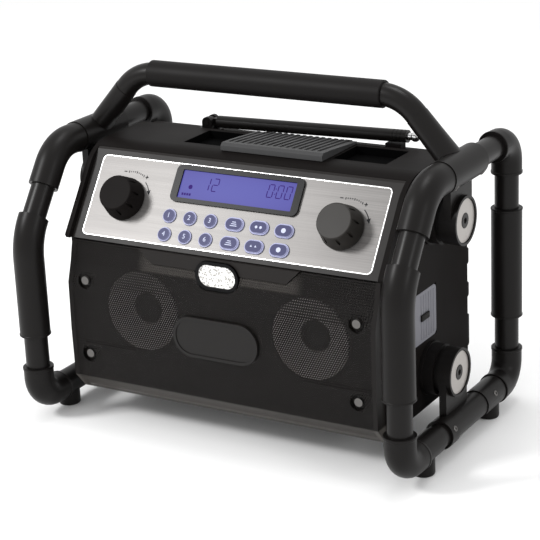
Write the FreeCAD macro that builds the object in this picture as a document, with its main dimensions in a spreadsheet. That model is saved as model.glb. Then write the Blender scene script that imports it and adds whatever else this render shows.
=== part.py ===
import FreeCAD, Part
import math
import os
import Sketcher
from FreeCAD import Placement, Rotation, Vector

# Jobsite radio with a tubular roll cage, in millimetres.
# X runs to the right, the control panel faces -Y, Z is up.
# The origin is on the ground, at the middle of the cage.

doc = FreeCAD.newDocument("JobsiteRadio")
sheet = doc.addObject("Spreadsheet::Sheet", "Dimensions")

# Driving dimensions
SIZES = {
    # cage tubes
    "tube_outer": 22.5,
    "tube_bore": 18.5,
    "tube_fit": 0.05,
    "cage_half_width": 191.7,
    "cage_half_depth": 113.6,
    "bottom_rail_height": 22.9,
    "top_rail_height": 257.65,
    "fitting_outer": 28.5,
    "elbow_bend": 20.0,
    "elbow_leg": 32.0,
    "front_lean": 35.9,
    "kink_height": 181.5,
    "kink_bend": 60.0,
    "front_elbow_bend": 40.0,
    "front_elbow_slope_leg": 41.9,
    "front_elbow_top_leg": 31.0,
    "sleeve_outer": 29.0,
    "sleeve_bottom": 86.6,
    "rear_sleeve_top": 192.7,
    "front_sleeve_over": 21.4,
    # feet
    "foot_offset": 69.6,
    "foot_outer": 21.0,
    "foot_edge": 2.0,
    "front_foot_sleeve": 24.6,
    "front_foot_length": 33.0,
    "rear_foot_sleeve": 27.0,
    "rear_foot_inner_end": 41.3,
    # top tee and brackets
    "tee_outer": 30.0,
    "tee_front_end": -27.0,
    "tee_rear_end": 40.0,
    "strap_half_width": 22.0,
    "strap_thickness": 7.0,
    "upper_strap_out": 195.0,
    "lower_strap_out": 192.0,
    "boss_outer": 45.0,
    "boss_inner_face": 183.0,
    "upper_boss_out": 199.5,
    "lower_boss_out": 196.0,
    "upper_boss_height": 211.0,
    "lower_boss_height": 70.5,
    "upper_boss_depth": 7.3,
    "lower_boss_depth": 0.0,
    "washer_outer": 39.5,
    "washer_thickness": 2.0,
    "washer_recess": 3.4,
    "washer_hole": 14.0,
    "bolt_head": 13.4,
    "bolt_head_height": 5.0,
    "bolt_shank": 8.0,
    "bolt_hex": 6.0,
    "bolt_reach": 150.5,
    "collar_outer": 27.5,
    "collar_length": 15.0,
    "collar_rear_end": -21.4,
    "saddle_outer": 25.0,
    "saddle_end": 40.9,
    "damper_outer": 47.0,
    "damper_flange": 50.0,
    "damper_flange_thickness": 3.0,
    "damper_neck": 40.0,
    "damper_neck_length": 4.0,
    # handle
    "handle_height": 317.7,
    "handle_depth": 7.3,
    "handle_bar_outer": 21.0,
    "handle_corner": 138.7,
    "handle_bend": 45.0,
    "handle_flare": 31.0,
    "handle_seat": 8.0,
    "handle_clear": 0.3,
    "grip_outer": 25.0,
    "grip_half_length": 122.4,
    "grip_edge": 1.2,
    # housing
    "body_half_width": 161.0,
    "cheek_out": 166.0,
    "cheek_gap": 0.3,
    "body_rear": 82.0,
    "body_bottom": 30.0,
    "cheek_bottom": 35.0,
    "top_front_height": 257.5,
    "top_rear_height": 252.5,
    "seam_depth": -31.3,
    "seam_gap": 0.2,
    "split_depth": -62.0,
    "split_knee": 190.0,
    "split_shoulder": 235.0,
    "wall": 3.0,
    "baffle_face": -79.0,
    "baffle_back": -75.0,
    "cheek_round": 44.0,
    "cheek_proud": 5.0,
    "rear_round": 12.0,
    "pad_out": 4.0,
    "ledge_front": 48.5,
    "cheek_front": -79.6,
    "cheek_nose": 178.6,
    # control panel
    "panel_top_depth": -36.9,
    "panel_top_height": 247.5,
    "panel_tilt": 54.8,
    "panel_slope": 79.6,
    "panel_half_width": 151.8,
    "panel_thickness": 1.2,
    "panel_corner": 5.0,
    "bezel_above": 5.0,
    "bezel_below": 4.4,
    "bezel_wall": 5.0,
    "panel_gap": 0.3,
    # display
    "display_half_width": 66.8,
    "display_top": 1.4,
    "display_bottom": 37.4,
    "display_proud": 2.2,
    "display_corner": 6.0,
    "window_half_width": 59.7,
    "window_top": 6.3,
    "window_bottom": 33.4,
    "lcd_front": 0.8,
    # keys
    "round_key": 13.4,
    "round_cap": 11.4,
    "oval_key_length": 19.2,
    "oval_key_height": 12.8,
    "key_cap_inset": 1.0,
    "key_gap": 0.3,
    "key_shoulder": 1.4,
    "key_cap_height": 1.0,
    "key_flange_out": 0.8,
    "key_flange": 0.8,
    "key_row_1": 51.5,
    "key_row_2": 69.4,
    "round_key_start": -62.0,
    "round_key_pitch": 22.0,
    "oval_key_start": 7.4,
    "oval_key_pitch": 25.6,
    # knobs
    "knob_offset": 114.0,
    "knob_slope": 41.5,
    "knob_base": 41.0,
    "knob_face": 33.0,
    "knob_lift": 1.3,
    "knob_height": 19.0,
    "knob_edge": 1.2,
    "knob_notch": 2.4,
    "knob_notch_count": 9,
    "shaft_outer": 6.0,
    "shaft_top": 15.0,
    "shaft_bottom": -10.4,
    "shaft_hole": 8.0,
    # control board
    "board_front": -11.6,
    "board_thickness": 1.6,
    "board_half_width": 150.0,
    "board_top": 3.0,
    "board_bottom": 76.0,
    "switch_width": 6.0,
    "switch_height": 4.2,
    "encoder_width": 12.0,
    "encoder_height": 5.6,
    "standoff_outer": 8.0,
    "standoff_offset": 145.0,
    "standoff_slope_1": 9.0,
    "standoff_slope_2": 70.0,
    # grille
    "grille_half_width": 161.4,
    "grille_wall": 1.6,
    "grille_bottom": 28.5,
    "grille_bottom_depth": -82.0,
    "grille_chin": 45.0,
    "grille_face": -97.0,
    "grille_brow": 138.0,
    "grille_brow_depth": -96.0,
    "grille_crease_2": 156.0,
    "grille_crease_2_depth": -90.0,
    "grille_crease_1": 168.0,
    "grille_crease_1_depth": -87.0,
    "grille_top": 177.4,
    "grille_top_depth": -84.6,
    "grille_screw_offset": 142.6,
    "grille_screw_high": 141.0,
    "grille_screw_low": 68.5,
    "screw_pocket": 15.0,
    "screw_pocket_floor": -92.5,
    "screw_pillar": 19.0,
    "screw_hole": 4.4,
    "screw_shank": 4.0,
    "screw_head": 8.0,
    "screw_head_height": 2.6,
    "screw_length": 22.0,
    # tongue, lamp and badge
    "tongue_top_half": 84.0,
    "tongue_low_half": 70.5,
    "tongue_low": 165.0,
    "tongue_face": -88.4,
    "tongue_gap": 0.5,
    "lamp_height": 162.4,
    "lamp_half_width": 22.5,
    "lamp_half_height": 13.4,
    "lamp_front": -90.6,
    "lamp_rim": 3.1,
    "lens_front": -89.4,
    "badge_height": 104.2,
    "badge_half_width": 44.5,
    "badge_half_height": 19.4,
    "badge_front": -99.2,
    "badge_rim": 3.0,
    "badge_rim_height": 0.8,
    # speakers
    "speaker_offset": 89.0,
    "speaker_height": 114.0,
    "speaker_flange": 76.0,
    "speaker_flange_thickness": 3.0,
    "speaker_basket": 66.0,
    "speaker_hole": 67.0,
    "speaker_depth": 36.0,
    "magnet_outer": 46.0,
    "magnet_length": 14.0,
    "cone_depth": 14.0,
    "cone_outer": 58.0,
    "dust_cap": 20.0,
    # device box under the ribbed lid
    "lid_left": -34.5,
    "lid_right": 71.5,
    "lid_front": -18.0,
    "lid_rear": 48.8,
    "lid_front_top": 264.8,
    "lid_rear_top": 259.8,
    "lid_gap": 0.4,
    "lid_rib_count": 15,
    "lid_rib_width": 2.4,
    "lid_rib_depth": 1.0,
    "lid_hinge_depth": 52.4,
    "lid_hinge_height": 256.2,
    "lid_hinge_outer": 6.4,
    "lid_pin": 3.0,
    "box_inset": 4.0,
    "box_front": -8.0,
    "box_rear": 43.0,
    "box_floor": 214.0,
    "box_wall": 2.2,
    # recesses in the top
    "recess_right_from": 74.5,
    "recess_right_to": 128.0,
    "recess_left_from": -84.0,
    "recess_left_to": -38.0,
    "recess_front": -4.0,
    "recess_rear": 42.0,
    "recess_deep": 8.0,
    # antenna
    "antenna_x": -95.0,
    "antenna_y": 62.0,
    "antenna_axis_height": 260.9,
    "antenna_rise": 1.3,
    "antenna_rod": 11.8,
    "antenna_length": 203.0,
    "antenna_bore": 5.2,
    "antenna_tongue": 6.0,
    "antenna_fork": 15.0,
    "antenna_base_outer": 24.0,
    "antenna_base_height": 1.8,
    "antenna_peg": 10.0,
    "antenna_peg_length": 5.0,
    "antenna_pin": 4.0,
    "mast_length": 186.0,
    "mast_ball": 9.4,
    "mast_neck": 7.0,
    "groove_width": 0.9,
    "groove_depth": 0.35,
    # side cover over the sockets
    "cover_rear": 14.0,
    "cover_front": -44.0,
    "cover_bottom": 99.5,
    "cover_top": 147.0,
    "cover_thickness": 3.8,
    "cover_gap": 0.3,
    "cover_relief": 0.75,
    "cover_ribs": 6,
    "cover_rib_depth": 0.8,
    "cover_hinge": 3.8,
    "cover_pin": 1.6,
    "bay_inset": 5.0,
    "bay_depth": 16.0,
    "socket_outer": 9.0,
    "socket_bore": 5.0,
    # battery bay in the back
    "battery_half_width": 62.0,
    "battery_bottom": 68.0,
    "battery_top": 165.0,
    "battery_floor": 30.0,
    "battery_wall": 2.5,
    "door_margin": 9.0,
    "door_thickness": 3.5,
    "door_gap": 0.3,
    "door_hinge": 6.0,
    "door_pin": 2.4,
    "door_ribs": 5,
}


class Size:
    # A number together with the sheet expression that gives it.
    def __init__(self, value, text):
        self.value = float(value)
        self.text = text

    def join(self, other, value, sign):
        return Size(value, "(%s %s %s)" % (self.text, sign, size_of(other).text))

    def __add__(self, other):
        return self.join(other, self.value + size_of(other).value, "+")

    def __sub__(self, other):
        return self.join(other, self.value - size_of(other).value, "-")

    def __mul__(self, other):
        return self.join(other, self.value * size_of(other).value, "*")

    def __truediv__(self, other):
        return self.join(other, self.value / size_of(other).value, "/")

    def __radd__(self, other):
        return size_of(other) + self

    def __rsub__(self, other):
        return size_of(other) - self

    def __rmul__(self, other):
        return size_of(other) * self

    def __neg__(self):
        return size_of(-1) * self

    def __float__(self):
        return self.value


def size_of(value):
    if isinstance(value, Size):
        return value
    return Size(value, "(%.9g)" % value)


for row, (alias, number) in enumerate(SIZES.items(), start=1):
    sheet.set("A%d" % row, alias)
    sheet.set("B%d" % row, "%g" % number)
    sheet.setAlias("B%d" % row, alias)
doc.recompute()


def S(alias):
    return Size(SIZES[alias], "Dimensions." + alias)


def bind(thing, prop, value):
    value = size_of(value)
    thing.setExpression(prop, value.text)


X_AXIS = Vector(1, 0, 0)
Y_AXIS = Vector(0, 1, 0)
Z_AXIS = Vector(0, 0, 1)
LEVEL = Rotation()


def vec(x, y, z):
    return Vector(float(x), float(y), float(z))


def part(kind, name):
    return doc.addObject(kind, name)


# Part primitives placed by their start point and direction
def cylinder(name, outer, length, start, direction):
    made = part("Part::Cylinder", name)
    bind(made, "Radius", outer / 2)
    bind(made, "Height", length)
    made.Placement = Placement(start, Rotation(Z_AXIS, direction))
    return made


def block(name, low, high):
    # A box from its low corner to its high corner, each three sizes.
    made = part("Part::Box", name)
    for prop, axis in (("Length", 0), ("Width", 1), ("Height", 2)):
        bind(made, prop, size_of(high[axis]) - low[axis])
    made.Placement = Placement(vec(*low), LEVEL)
    return made


def cone(name, base, tip, length, start, direction):
    made = part("Part::Cone", name)
    bind(made, "Radius1", base / 2)
    bind(made, "Radius2", tip / 2)
    bind(made, "Height", length)
    made.Placement = Placement(start, Rotation(Z_AXIS, direction))
    return made


def join(name, pieces):
    made = part("Part::MultiFuse", name)
    made.Shapes = list(pieces)
    return made


def cut(name, base, tools, refine=True):
    tools = list(tools)
    tool = tools[0] if len(tools) == 1 else join(name + "_tools", tools)
    made = part("Part::Cut", name)
    made.Refine = refine
    made.Base = base
    made.Tool = tool
    return made


def group(name, pieces):
    # Separate solids kept side by side in one sub-part.
    made = part("Part::Compound", name)
    made.Links = list(pieces)
    return made


def mirrored(name, source):
    made = part("Part::Mirroring", name)
    made.Source = source
    made.Normal = X_AXIS
    made.Base = Vector(0, 0, 0)
    return made


def round_edges(name, base, radius, wanted):
    # Fillet of the edges that the wanted test picks.
    doc.recompute()
    made = part("Part::Fillet", name)
    made.Base = base
    picked = [i + 1 for i, edge in enumerate(base.Shape.Edges) if wanted(edge)]
    made.Edges = [(i, float(radius), float(radius)) for i in picked]
    return made


def ring_edge_at(point, tolerance=0.6):
    # Picks round edges whose centre lies at a point.
    def wanted(edge):
        if not hasattr(edge.Curve, "Center"):
            return False
        return (edge.Curve.Center - point).Length < tolerance
    return wanted


# Centre lines of bent tubes: straight runs joined by tangent arcs
def route(name, points, bends):
    edges = []
    start = points[0]
    for corner, after, bend in zip(points[1:-1], points[2:], bends):
        into = (corner - start).normalize()
        out = (after - corner).normalize()
        half_turn = into.getAngle(out) / 2
        reach = float(bend) * math.tan(half_turn)
        first = corner - into * reach
        last = corner + out * reach
        inward = (out - into).normalize()
        middle = corner + inward * (float(bend) / math.cos(half_turn) - float(bend))
        edges.append(Part.LineSegment(start, first).toShape())
        edges.append(Part.Arc(first, middle, last).toShape())
        start = last
    edges.append(Part.LineSegment(start, points[-1]).toShape())
    made = part("Part::Feature", name)
    made.Shape = Part.Wire(edges)
    return made


def bar_along(name, path, outer):
    # Solid round bar swept along a centre line.
    doc.recompute()
    wire = path.Shape
    start = wire.Edges[0].valueAt(wire.Edges[0].FirstParameter)
    toward = wire.Edges[0].tangentAt(wire.Edges[0].FirstParameter)
    circle = part("Part::Circle", name + "_section")
    bind(circle, "Radius", outer / 2)
    circle.Placement = Placement(start, Rotation(Z_AXIS, toward))
    made = part("Part::Sweep", name)
    made.Sections = [circle]
    made.Spine = (path, [])
    made.Solid = True
    made.Frenet = False
    return made


def tube_along(name, points, bends, outer, bore):
    path = route(name + "_path", points, bends)
    body = bar_along(name + "_outside", path, outer)
    hole = bar_along(name + "_inside", path, bore)
    return cut(name, body, [hole])


# Sketch based bodies
def new_body(name):
    return doc.addObject("PartDesign::Body", name)


def origin_plane(body, role):
    return [f for f in body.Origin.OriginFeatures if f.Role == role][0]


def sketch_on(body, name, role, lift=0.0):
    sketch = body.newObject("Sketcher::SketchObject", name)
    sketch.AttachmentSupport = [(origin_plane(body, role), "")]
    sketch.MapMode = "FlatFace"
    bind(sketch, "AttachmentOffset.Base.z", lift)
    return sketch


def add_outline(sketch, points):
    # Closed outline through points, each point held by two sheet sizes.
    first = sketch.GeometryCount
    count = len(points)
    for i in range(count):
        a = points[i]
        b = points[(i + 1) % count]
        sketch.addGeometry(Part.LineSegment(vec(a[0], a[1], 0), vec(b[0], b[1], 0)), False)
    for i in range(count):
        after = first + (i + 1) % count
        sketch.addConstraint(Sketcher.Constraint("Coincident", first + i, 2, after, 1))
    for i, (x, y) in enumerate(points):
        for kind, value in (("DistanceX", size_of(x)), ("DistanceY", size_of(y))):
            index = sketch.addConstraint(
                Sketcher.Constraint(kind, -1, 1, first + i, 1, value.value))
            sketch.setExpression("Constraints[%d]" % index, value.text)


def add_circle(sketch, x, y, outer):
    index = sketch.addGeometry(Part.Circle(vec(x, y, 0), Z_AXIS, float(outer) / 2), False)
    for kind, value in (("DistanceX", size_of(x)), ("DistanceY", size_of(y))):
        held = sketch.addConstraint(Sketcher.Constraint(kind, -1, 1, index, 3, value.value))
        sketch.setExpression("Constraints[%d]" % held, value.text)
    held = sketch.addConstraint(Sketcher.Constraint("Diameter", index, float(outer)))
    sketch.setExpression("Constraints[%d]" % held, size_of(outer).text)


def rectangle(x0, x1, y0, y1):
    return [(x0, y0), (x1, y0), (x1, y1), (x0, y1)]


def extrude(body, name, sketch, length, kind="PartDesign::Pad", symmetric=False, back=False):
    made = body.newObject(kind, name)
    made.Profile = sketch
    if kind == "PartDesign::Pocket":
        made.Type = 0
    bind(made, "Length", length)
    if symmetric:
        made.SideType = "Symmetric"
    made.Reversed = back
    body.Tip = made
    return made


def soften(body, name, radius, wanted, kind="PartDesign::Fillet"):
    # Fillet or chamfer on the edges that the wanted test picks.
    doc.recompute()
    base = body.Tip
    names = ["Edge%d" % (i + 1) for i, e in enumerate(base.Shape.Edges) if wanted(e)]
    made = body.newObject(kind, name)
    made.Base = (base, names)
    bind(made, "Radius" if kind == "PartDesign::Fillet" else "Size", radius)
    body.Tip = made
    return made


def straight_along(axis, where=lambda centre: True):
    # Picks straight edges that run along an axis and whose middle passes a test.
    def wanted(edge):
        if edge.Curve.TypeId != "Part::GeomLine":
            return False
        direction = edge.tangentAt(edge.FirstParameter)
        if abs(abs(direction.dot(axis)) - 1) > 1e-6:
            return False
        return where(edge.CenterOfMass)
    return wanted


def slab(name, x0, x1, y0, y1, z0, thickness, corner=None):
    # Plate in the XY plane with rounded corners.
    body = new_body(name)
    sketch = sketch_on(body, name + "_outline", "XY_Plane", z0)
    add_outline(sketch, rectangle(x0, x1, y0, y1))
    extrude(body, name + "_plate", sketch, thickness)
    if corner is not None:
        soften(body, name + "_corners", corner, straight_along(Z_AXIS))
    return body


finished = []


def keep(label, shape_object, placement=None):
    # Names a finished sub-part and puts it where it belongs.
    shape_object.Label = label
    if placement is not None:
        shape_object.Placement = placement
    finished.append(shape_object)
    return shape_object


# Cage: centre lines in the plane of each side loop
cage_x = S("cage_half_width")
half_depth = S("cage_half_depth")
low = S("bottom_rail_height")
high = S("top_rail_height")
tube_outer = S("tube_outer")
socket = tube_outer + 2 * S("tube_fit")
lean = math.radians(SIZES["front_lean"])
slope_up = Vector(0, math.sin(lean), math.cos(lean))

bottom_front = vec(cage_x, -half_depth, low)
bottom_rear = vec(cage_x, half_depth, low)
top_rear = vec(cage_x, half_depth, high)
kink = vec(cage_x, -half_depth, S("kink_height"))
top_front = kink + slope_up * (float(high - S("kink_height")) / math.cos(lean))
elbow_seat = float(S("elbow_bend")) + 0.5
front_seat = float(S("front_elbow_bend")) * math.tan((math.pi / 2 - lean) / 2) + 0.5


def both_sides(label, right):
    keep(label + "_right", right)
    keep(label + "_left", mirrored(label + "_left", right))


both_sides("bottom_rail", tube_along(
    "bottom_rail_right",
    [bottom_front + Y_AXIS * elbow_seat, bottom_rear - Y_AXIS * elbow_seat],
    [], tube_outer, S("tube_bore")))
both_sides("top_rail", tube_along(
    "top_rail_right",
    [top_front + Y_AXIS * front_seat, top_rear - Y_AXIS * elbow_seat],
    [], tube_outer, S("tube_bore")))
both_sides("front_post", tube_along(
    "front_post_right",
    [bottom_front + Z_AXIS * elbow_seat, kink, top_front - slope_up * front_seat],
    [S("kink_bend")], tube_outer, S("tube_bore")))
both_sides("front_sleeve", tube_along(
    "front_sleeve_right",
    [vec(cage_x, -half_depth, S("sleeve_bottom")), kink,
     kink + slope_up * SIZES["front_sleeve_over"]],
    [S("kink_bend")], S("sleeve_outer"), socket))
both_sides("front_elbow", tube_along(
    "front_elbow_right",
    [top_front - slope_up * SIZES["front_elbow_slope_leg"], top_front,
     top_front + Y_AXIS * SIZES["front_elbow_top_leg"]],
    [S("front_elbow_bend")], S("fitting_outer"), socket))


def side_pair(label, make):
    # Two equal pieces, one in each side loop.
    right = make(label + "_r")
    left = mirrored(label + "_l", right)
    return [right, left]


keep("rear_posts", group("rear_posts", side_pair("rear_post", lambda name: tube_along(
    name, [bottom_rear + Z_AXIS * elbow_seat, top_rear - Z_AXIS * elbow_seat],
    [], tube_outer, S("tube_bore")))))
keep("rear_sleeves", group("rear_sleeves", side_pair("rear_sleeve", lambda name: tube_along(
    name, [vec(cage_x, half_depth, S("sleeve_bottom")),
           vec(cage_x, half_depth, S("rear_sleeve_top"))],
    [], S("sleeve_outer"), socket))))


def corner_elbow(name, corner, one_way, other_way):
    leg = SIZES["elbow_leg"]
    return tube_along(name, [corner + one_way * leg, corner, corner + other_way * leg],
                      [S("elbow_bend")], S("fitting_outer"), socket)


elbows = []
for name, corner, one_way, other_way in (
        ("elbow_low_front", bottom_front, Z_AXIS, Y_AXIS),
        ("elbow_low_rear", bottom_rear, Z_AXIS, -Y_AXIS),
        ("elbow_high_rear", top_rear, -Z_AXIS, -Y_AXIS)):
    elbow = corner_elbow(name, corner, one_way, other_way)
    elbows += [elbow, mirrored(name + "_l", elbow)]
keep("corner_elbows", group("corner_elbows", elbows))


# Feet: a sleeve on the bottom rail with a stub down to the ground
def foot(name, sleeve_outer, sleeve_from, sleeve_to, stub_depth):
    sleeve = cylinder(name + "_sleeve", sleeve_outer, sleeve_to - sleeve_from,
                      vec(cage_x, sleeve_from, low), Y_AXIS)
    stub = cylinder(name + "_stub", S("foot_outer"), low, vec(cage_x, stub_depth, 0), Z_AXIS)
    solid = join(name + "_solid", [sleeve, stub])
    softened = round_edges(name + "_soft", solid, S("foot_edge"),
                           ring_edge_at(vec(cage_x, stub_depth, 0)))
    bore = cylinder(name + "_bore", socket, sleeve_to - sleeve_from + 2,
                    vec(cage_x, sleeve_from - 1, low), Y_AXIS)
    return cut(name, softened, [bore])


elbow_end = half_depth - S("elbow_leg")
front_from = -elbow_end + 0.4
feet = side_pair("front_foot", lambda name: foot(
    name, S("front_foot_sleeve"), front_from, front_from + S("front_foot_length"),
    -S("foot_offset")))
feet += side_pair("rear_foot", lambda name: foot(
    name, S("rear_foot_sleeve"), S("rear_foot_inner_end"), elbow_end - 0.4,
    S("foot_offset")))
keep("foot_tees", group("foot_tees", feet))


# Brackets: each carries one bolted boss of the cage suspension
def strap_and_boss(name, strap_out, boss_out, boss_y, boss_z, rail_z):
    strap_in = strap_out - S("strap_thickness")
    half = S("strap_half_width")
    low_z, high_z = (rail_z, boss_z) if float(rail_z) < float(boss_z) else (boss_z, rail_z)
    return [
        block(name + "_strap", (strap_in, boss_y - half, low_z),
              (strap_out, boss_y + half, high_z)),
        cylinder(name + "_round", half * 2, strap_out - strap_in,
                 vec(strap_in, boss_y, boss_z), X_AXIS),
        cylinder(name + "_boss", S("boss_outer"), boss_out - S("boss_inner_face"),
                 vec(S("boss_inner_face"), boss_y, boss_z), X_AXIS),
    ]


def boss_holes(name, boss_out, boss_y, boss_z):
    floor = boss_out - S("washer_recess")
    return [
        cylinder(name + "_recess", S("washer_outer") + 0.6, S("washer_recess") + 5,
                 vec(floor, boss_y, boss_z), X_AXIS),
        cylinder(name + "_hole", S("bolt_shank") + 0.8, boss_out - S("boss_inner_face") + 10,
                 vec(S("boss_inner_face") - 5, boss_y, boss_z), X_AXIS),
    ]


rail_axis = vec(cage_x, 0, low)
lower_solid = join("lower_bracket_solid", strap_and_boss(
    "lower", S("lower_strap_out"), S("lower_boss_out"), S("lower_boss_depth"),
    S("lower_boss_height"), low) + [
        cylinder("lower_collar", S("collar_outer"), S("collar_length"),
                 vec(cage_x, S("collar_rear_end") - S("collar_length"), low), Y_AXIS),
        cylinder("lower_saddle", S("saddle_outer"),
                 S("saddle_end") - S("collar_rear_end") + 1,
                 vec(cage_x, S("collar_rear_end") - 1, low), Y_AXIS)])
both_sides("lower_bracket", cut("lower_bracket_right", lower_solid, boss_holes(
    "lower", S("lower_boss_out"), S("lower_boss_depth"), S("lower_boss_height")) + [
        cylinder("lower_bore", socket, 2 * half_depth,
                 vec(cage_x, -half_depth, low), Y_AXIS)]))

arm_drop = math.atan2(SIZES["handle_height"] - SIZES["top_rail_height"],
                      SIZES["cage_half_width"] - SIZES["handle_corner"])
arm_up = Vector(-math.cos(arm_drop), 0, math.sin(arm_drop))
tee_centre = vec(cage_x, S("handle_depth"), high)
tee_solid = join("top_tee_solid", strap_and_boss(
    "upper", S("upper_strap_out"), S("upper_boss_out"), S("upper_boss_depth"),
    S("upper_boss_height"), high) + [
        cylinder("tee_sleeve", S("tee_outer"), S("tee_rear_end") - S("tee_front_end"),
                 vec(cage_x, S("tee_front_end"), high), Y_AXIS)])
both_sides("top_tee", cut("top_tee_right", tee_solid, boss_holes(
    "upper", S("upper_boss_out"), S("upper_boss_depth"), S("upper_boss_height")) + [
        cylinder("tee_bore", socket, 2 * half_depth,
                 vec(cage_x, -half_depth, high), Y_AXIS)]))

# Handle: a bent bar whose arms flare towards the tees, and a soft grip
handle_top = S("handle_height")
corner_left = vec(-S("handle_corner"), S("handle_depth"), handle_top)
corner_right = vec(S("handle_corner"), S("handle_depth"), handle_top)
arm_reach = float(S("handle_bend")) * math.tan(arm_drop / 2)
arm_start = corner_right - arm_up * (arm_reach + 2)
arm_end = tee_centre + arm_up * SIZES["handle_seat"]
bar_path = route("handle_path", [
    Vector(-arm_start.x, arm_start.y, arm_start.z), corner_left, corner_right, arm_start],
    [S("handle_bend"), S("handle_bend")])
bar = bar_along("handle_bend_bar", bar_path, S("handle_bar_outer"))


def flared_arm(name):
    # The arm swells along the depth while its width stays.
    sections = []
    for i, share in enumerate((0.0, 0.45, 1.0)):
        ellipse = part("Part::Ellipse", "%s_section_%d" % (name, i))
        bind(ellipse, "MinorRadius", S("handle_bar_outer") / 2 + 0.3 + 0.1 * share)
        bind(ellipse, "MajorRadius", S("handle_bar_outer") / 2 + 0.5
             + (S("handle_flare") - S("handle_bar_outer") - 1) / 2 * share ** 1.3)
        at = arm_start + (arm_end - arm_start) * share
        along = Rotation(Y_AXIS, arm_up.cross(Y_AXIS), arm_up, "ZXY")
        ellipse.Placement = Placement(at, along)
        sections.append(ellipse)
    loft = part("Part::Loft", name)
    loft.Sections = sections
    loft.Solid = True
    loft.Ruled = False
    return loft


arm_right = flared_arm("arm_right")
handle_solid = join("handle_solid", [bar, arm_right, mirrored("arm_left", arm_right)])
seats = [cylinder("handle_seat_%d" % i, S("tee_outer") + 2 * S("handle_clear"), size_of(120),
                  vec(cage_x * side, size_of(-60), high), Y_AXIS)
         for i, side in enumerate((-1, 1))]
keep("handle_bar", cut("handle_bar", handle_solid, seats))

grip_length = S("grip_half_length") * 2
grip_start = vec(-S("grip_half_length"), S("handle_depth"), handle_top)
grip_solid = cylinder("grip_solid", S("grip_outer"), grip_length, grip_start, X_AXIS)
grip_soft = round_edges("grip_soft", grip_solid, S("grip_edge"),
                        lambda edge: hasattr(edge.Curve, "Center"))
grip_bore = bar_along("grip_bore", bar_path, S("handle_bar_outer") + 2 * S("tube_fit"))
keep("handle_grip", cut("handle_grip", grip_soft, [grip_bore]))


# Rubber dampers, washers and bolts between the cage and the housing
def damper(name, boss_y, boss_z):
    wall = S("cheek_out") + 0.1
    reach = S("boss_inner_face") - 0.1 - wall
    at = vec(wall, boss_y, boss_z)
    flange = cylinder(name + "_flange", S("damper_flange"), S("damper_flange_thickness"),
                      at, X_AXIS)
    neck = cylinder(name + "_neck", S("damper_neck"), reach, at, X_AXIS)
    barrel = cylinder(name + "_barrel", S("damper_outer"), reach - S("damper_neck_length"),
                      at, X_AXIS)
    hole = cylinder(name + "_hole", S("bolt_shank") + 0.8, reach + 4,
                    at - X_AXIS * 2, X_AXIS)
    return cut(name, join(name + "_solid", [flange, neck, barrel]), [hole])


def washer(name, boss_out, boss_y, boss_z):
    at = vec(boss_out - S("washer_recess") + 0.05, boss_y, boss_z)
    disc = cylinder(name + "_disc", S("washer_outer"), S("washer_thickness"), at, X_AXIS)
    hole = cylinder(name + "_hole", S("washer_hole"), S("washer_thickness") + 2,
                    at - X_AXIS, X_AXIS)
    return cut(name, disc, [hole])


def bolt(name, boss_out, boss_y, boss_z):
    seat = boss_out - S("washer_recess") + 0.05
    at = vec(seat, boss_y, boss_z)
    head = cylinder(name + "_head", S("bolt_head"), S("washer_thickness") + 0.4, at, X_AXIS)
    shank = cylinder(name + "_shank", S("bolt_shank"), seat - S("bolt_reach") + 1,
                     vec(S("bolt_reach"), boss_y, boss_z), X_AXIS)
    hexagon = part("Part::Prism", name + "_hex")
    hexagon.Polygon = 6
    bind(hexagon, "Circumradius", S("bolt_hex") / 2)
    bind(hexagon, "Height", S("bolt_head_height"))
    hexagon.Placement = Placement(at, Rotation(Z_AXIS, X_AXIS))
    return cut(name, join(name + "_solid", [head, shank]), [hexagon])


UPPER = (S("upper_boss_out"), S("upper_boss_depth"), S("upper_boss_height"))
LOWER = (S("lower_boss_out"), S("lower_boss_depth"), S("lower_boss_height"))
dampers = []
fasteners = []
for place, (out, y, z) in (("upper", UPPER), ("lower", LOWER)):
    dampers += side_pair(place + "_damper", lambda name: damper(name, y, z))
    fasteners += side_pair(place + "_washer", lambda name: washer(name, out, y, z))
    fasteners += side_pair(place + "_bolt", lambda name: bolt(name, out, y, z))
keep("rubber_dampers", group("rubber_dampers", dampers))
keep("mount_bolts", group("mount_bolts", fasteners))

# Frame of the tilted control panel: local x to the right, y up the slope, z outwards
tilt = math.radians(SIZES["panel_tilt"])
panel_top = vec(0, S("panel_top_depth"), S("panel_top_height"))
down = Vector(0, -math.cos(tilt), -math.sin(tilt))
outward = Vector(0, -math.sin(tilt), math.cos(tilt))
panel_turn = Rotation(X_AXIS, SIZES["panel_tilt"])
ON_PANEL = Placement(panel_top, panel_turn)


def on_slope(along, off):
    # Depth and height of a point of the side view, down the slope and outwards.
    cosine = math.cos(tilt)
    sine = math.sin(tilt)
    y = S("panel_top_depth") - along * cosine - off * sine
    z = S("panel_top_height") - along * sine + off * cosine
    return y, z


def on_panel(x, along, lift=0.0):
    at = panel_top + X_AXIS * float(x) + down * float(along) + outward * float(lift)
    return Placement(at, panel_turn)


KEYS = []
for row_index, row in enumerate((S("key_row_1"), S("key_row_2"))):
    for i in range(3):
        KEYS.append(("key_round_%d" % (row_index * 3 + i + 1), "round",
                     S("round_key_start") + S("round_key_pitch") * i, row))
for row_index, row in enumerate((S("key_row_1"), S("key_row_2"))):
    for i in range(3):
        KEYS.append(("key_oval_%d" % (row_index * 3 + i + 1), "oval",
                     S("oval_key_start") + S("oval_key_pitch") * i, row))


def prism(name, x, along, width, height, low_off, high_off, corner=None):
    # Rounded block standing on the panel plane.
    body = slab(name, -width / 2, width / 2, -height / 2, height / 2,
                low_off, high_off - low_off, corner)
    body.Placement = on_panel(x, along)
    return body


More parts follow.
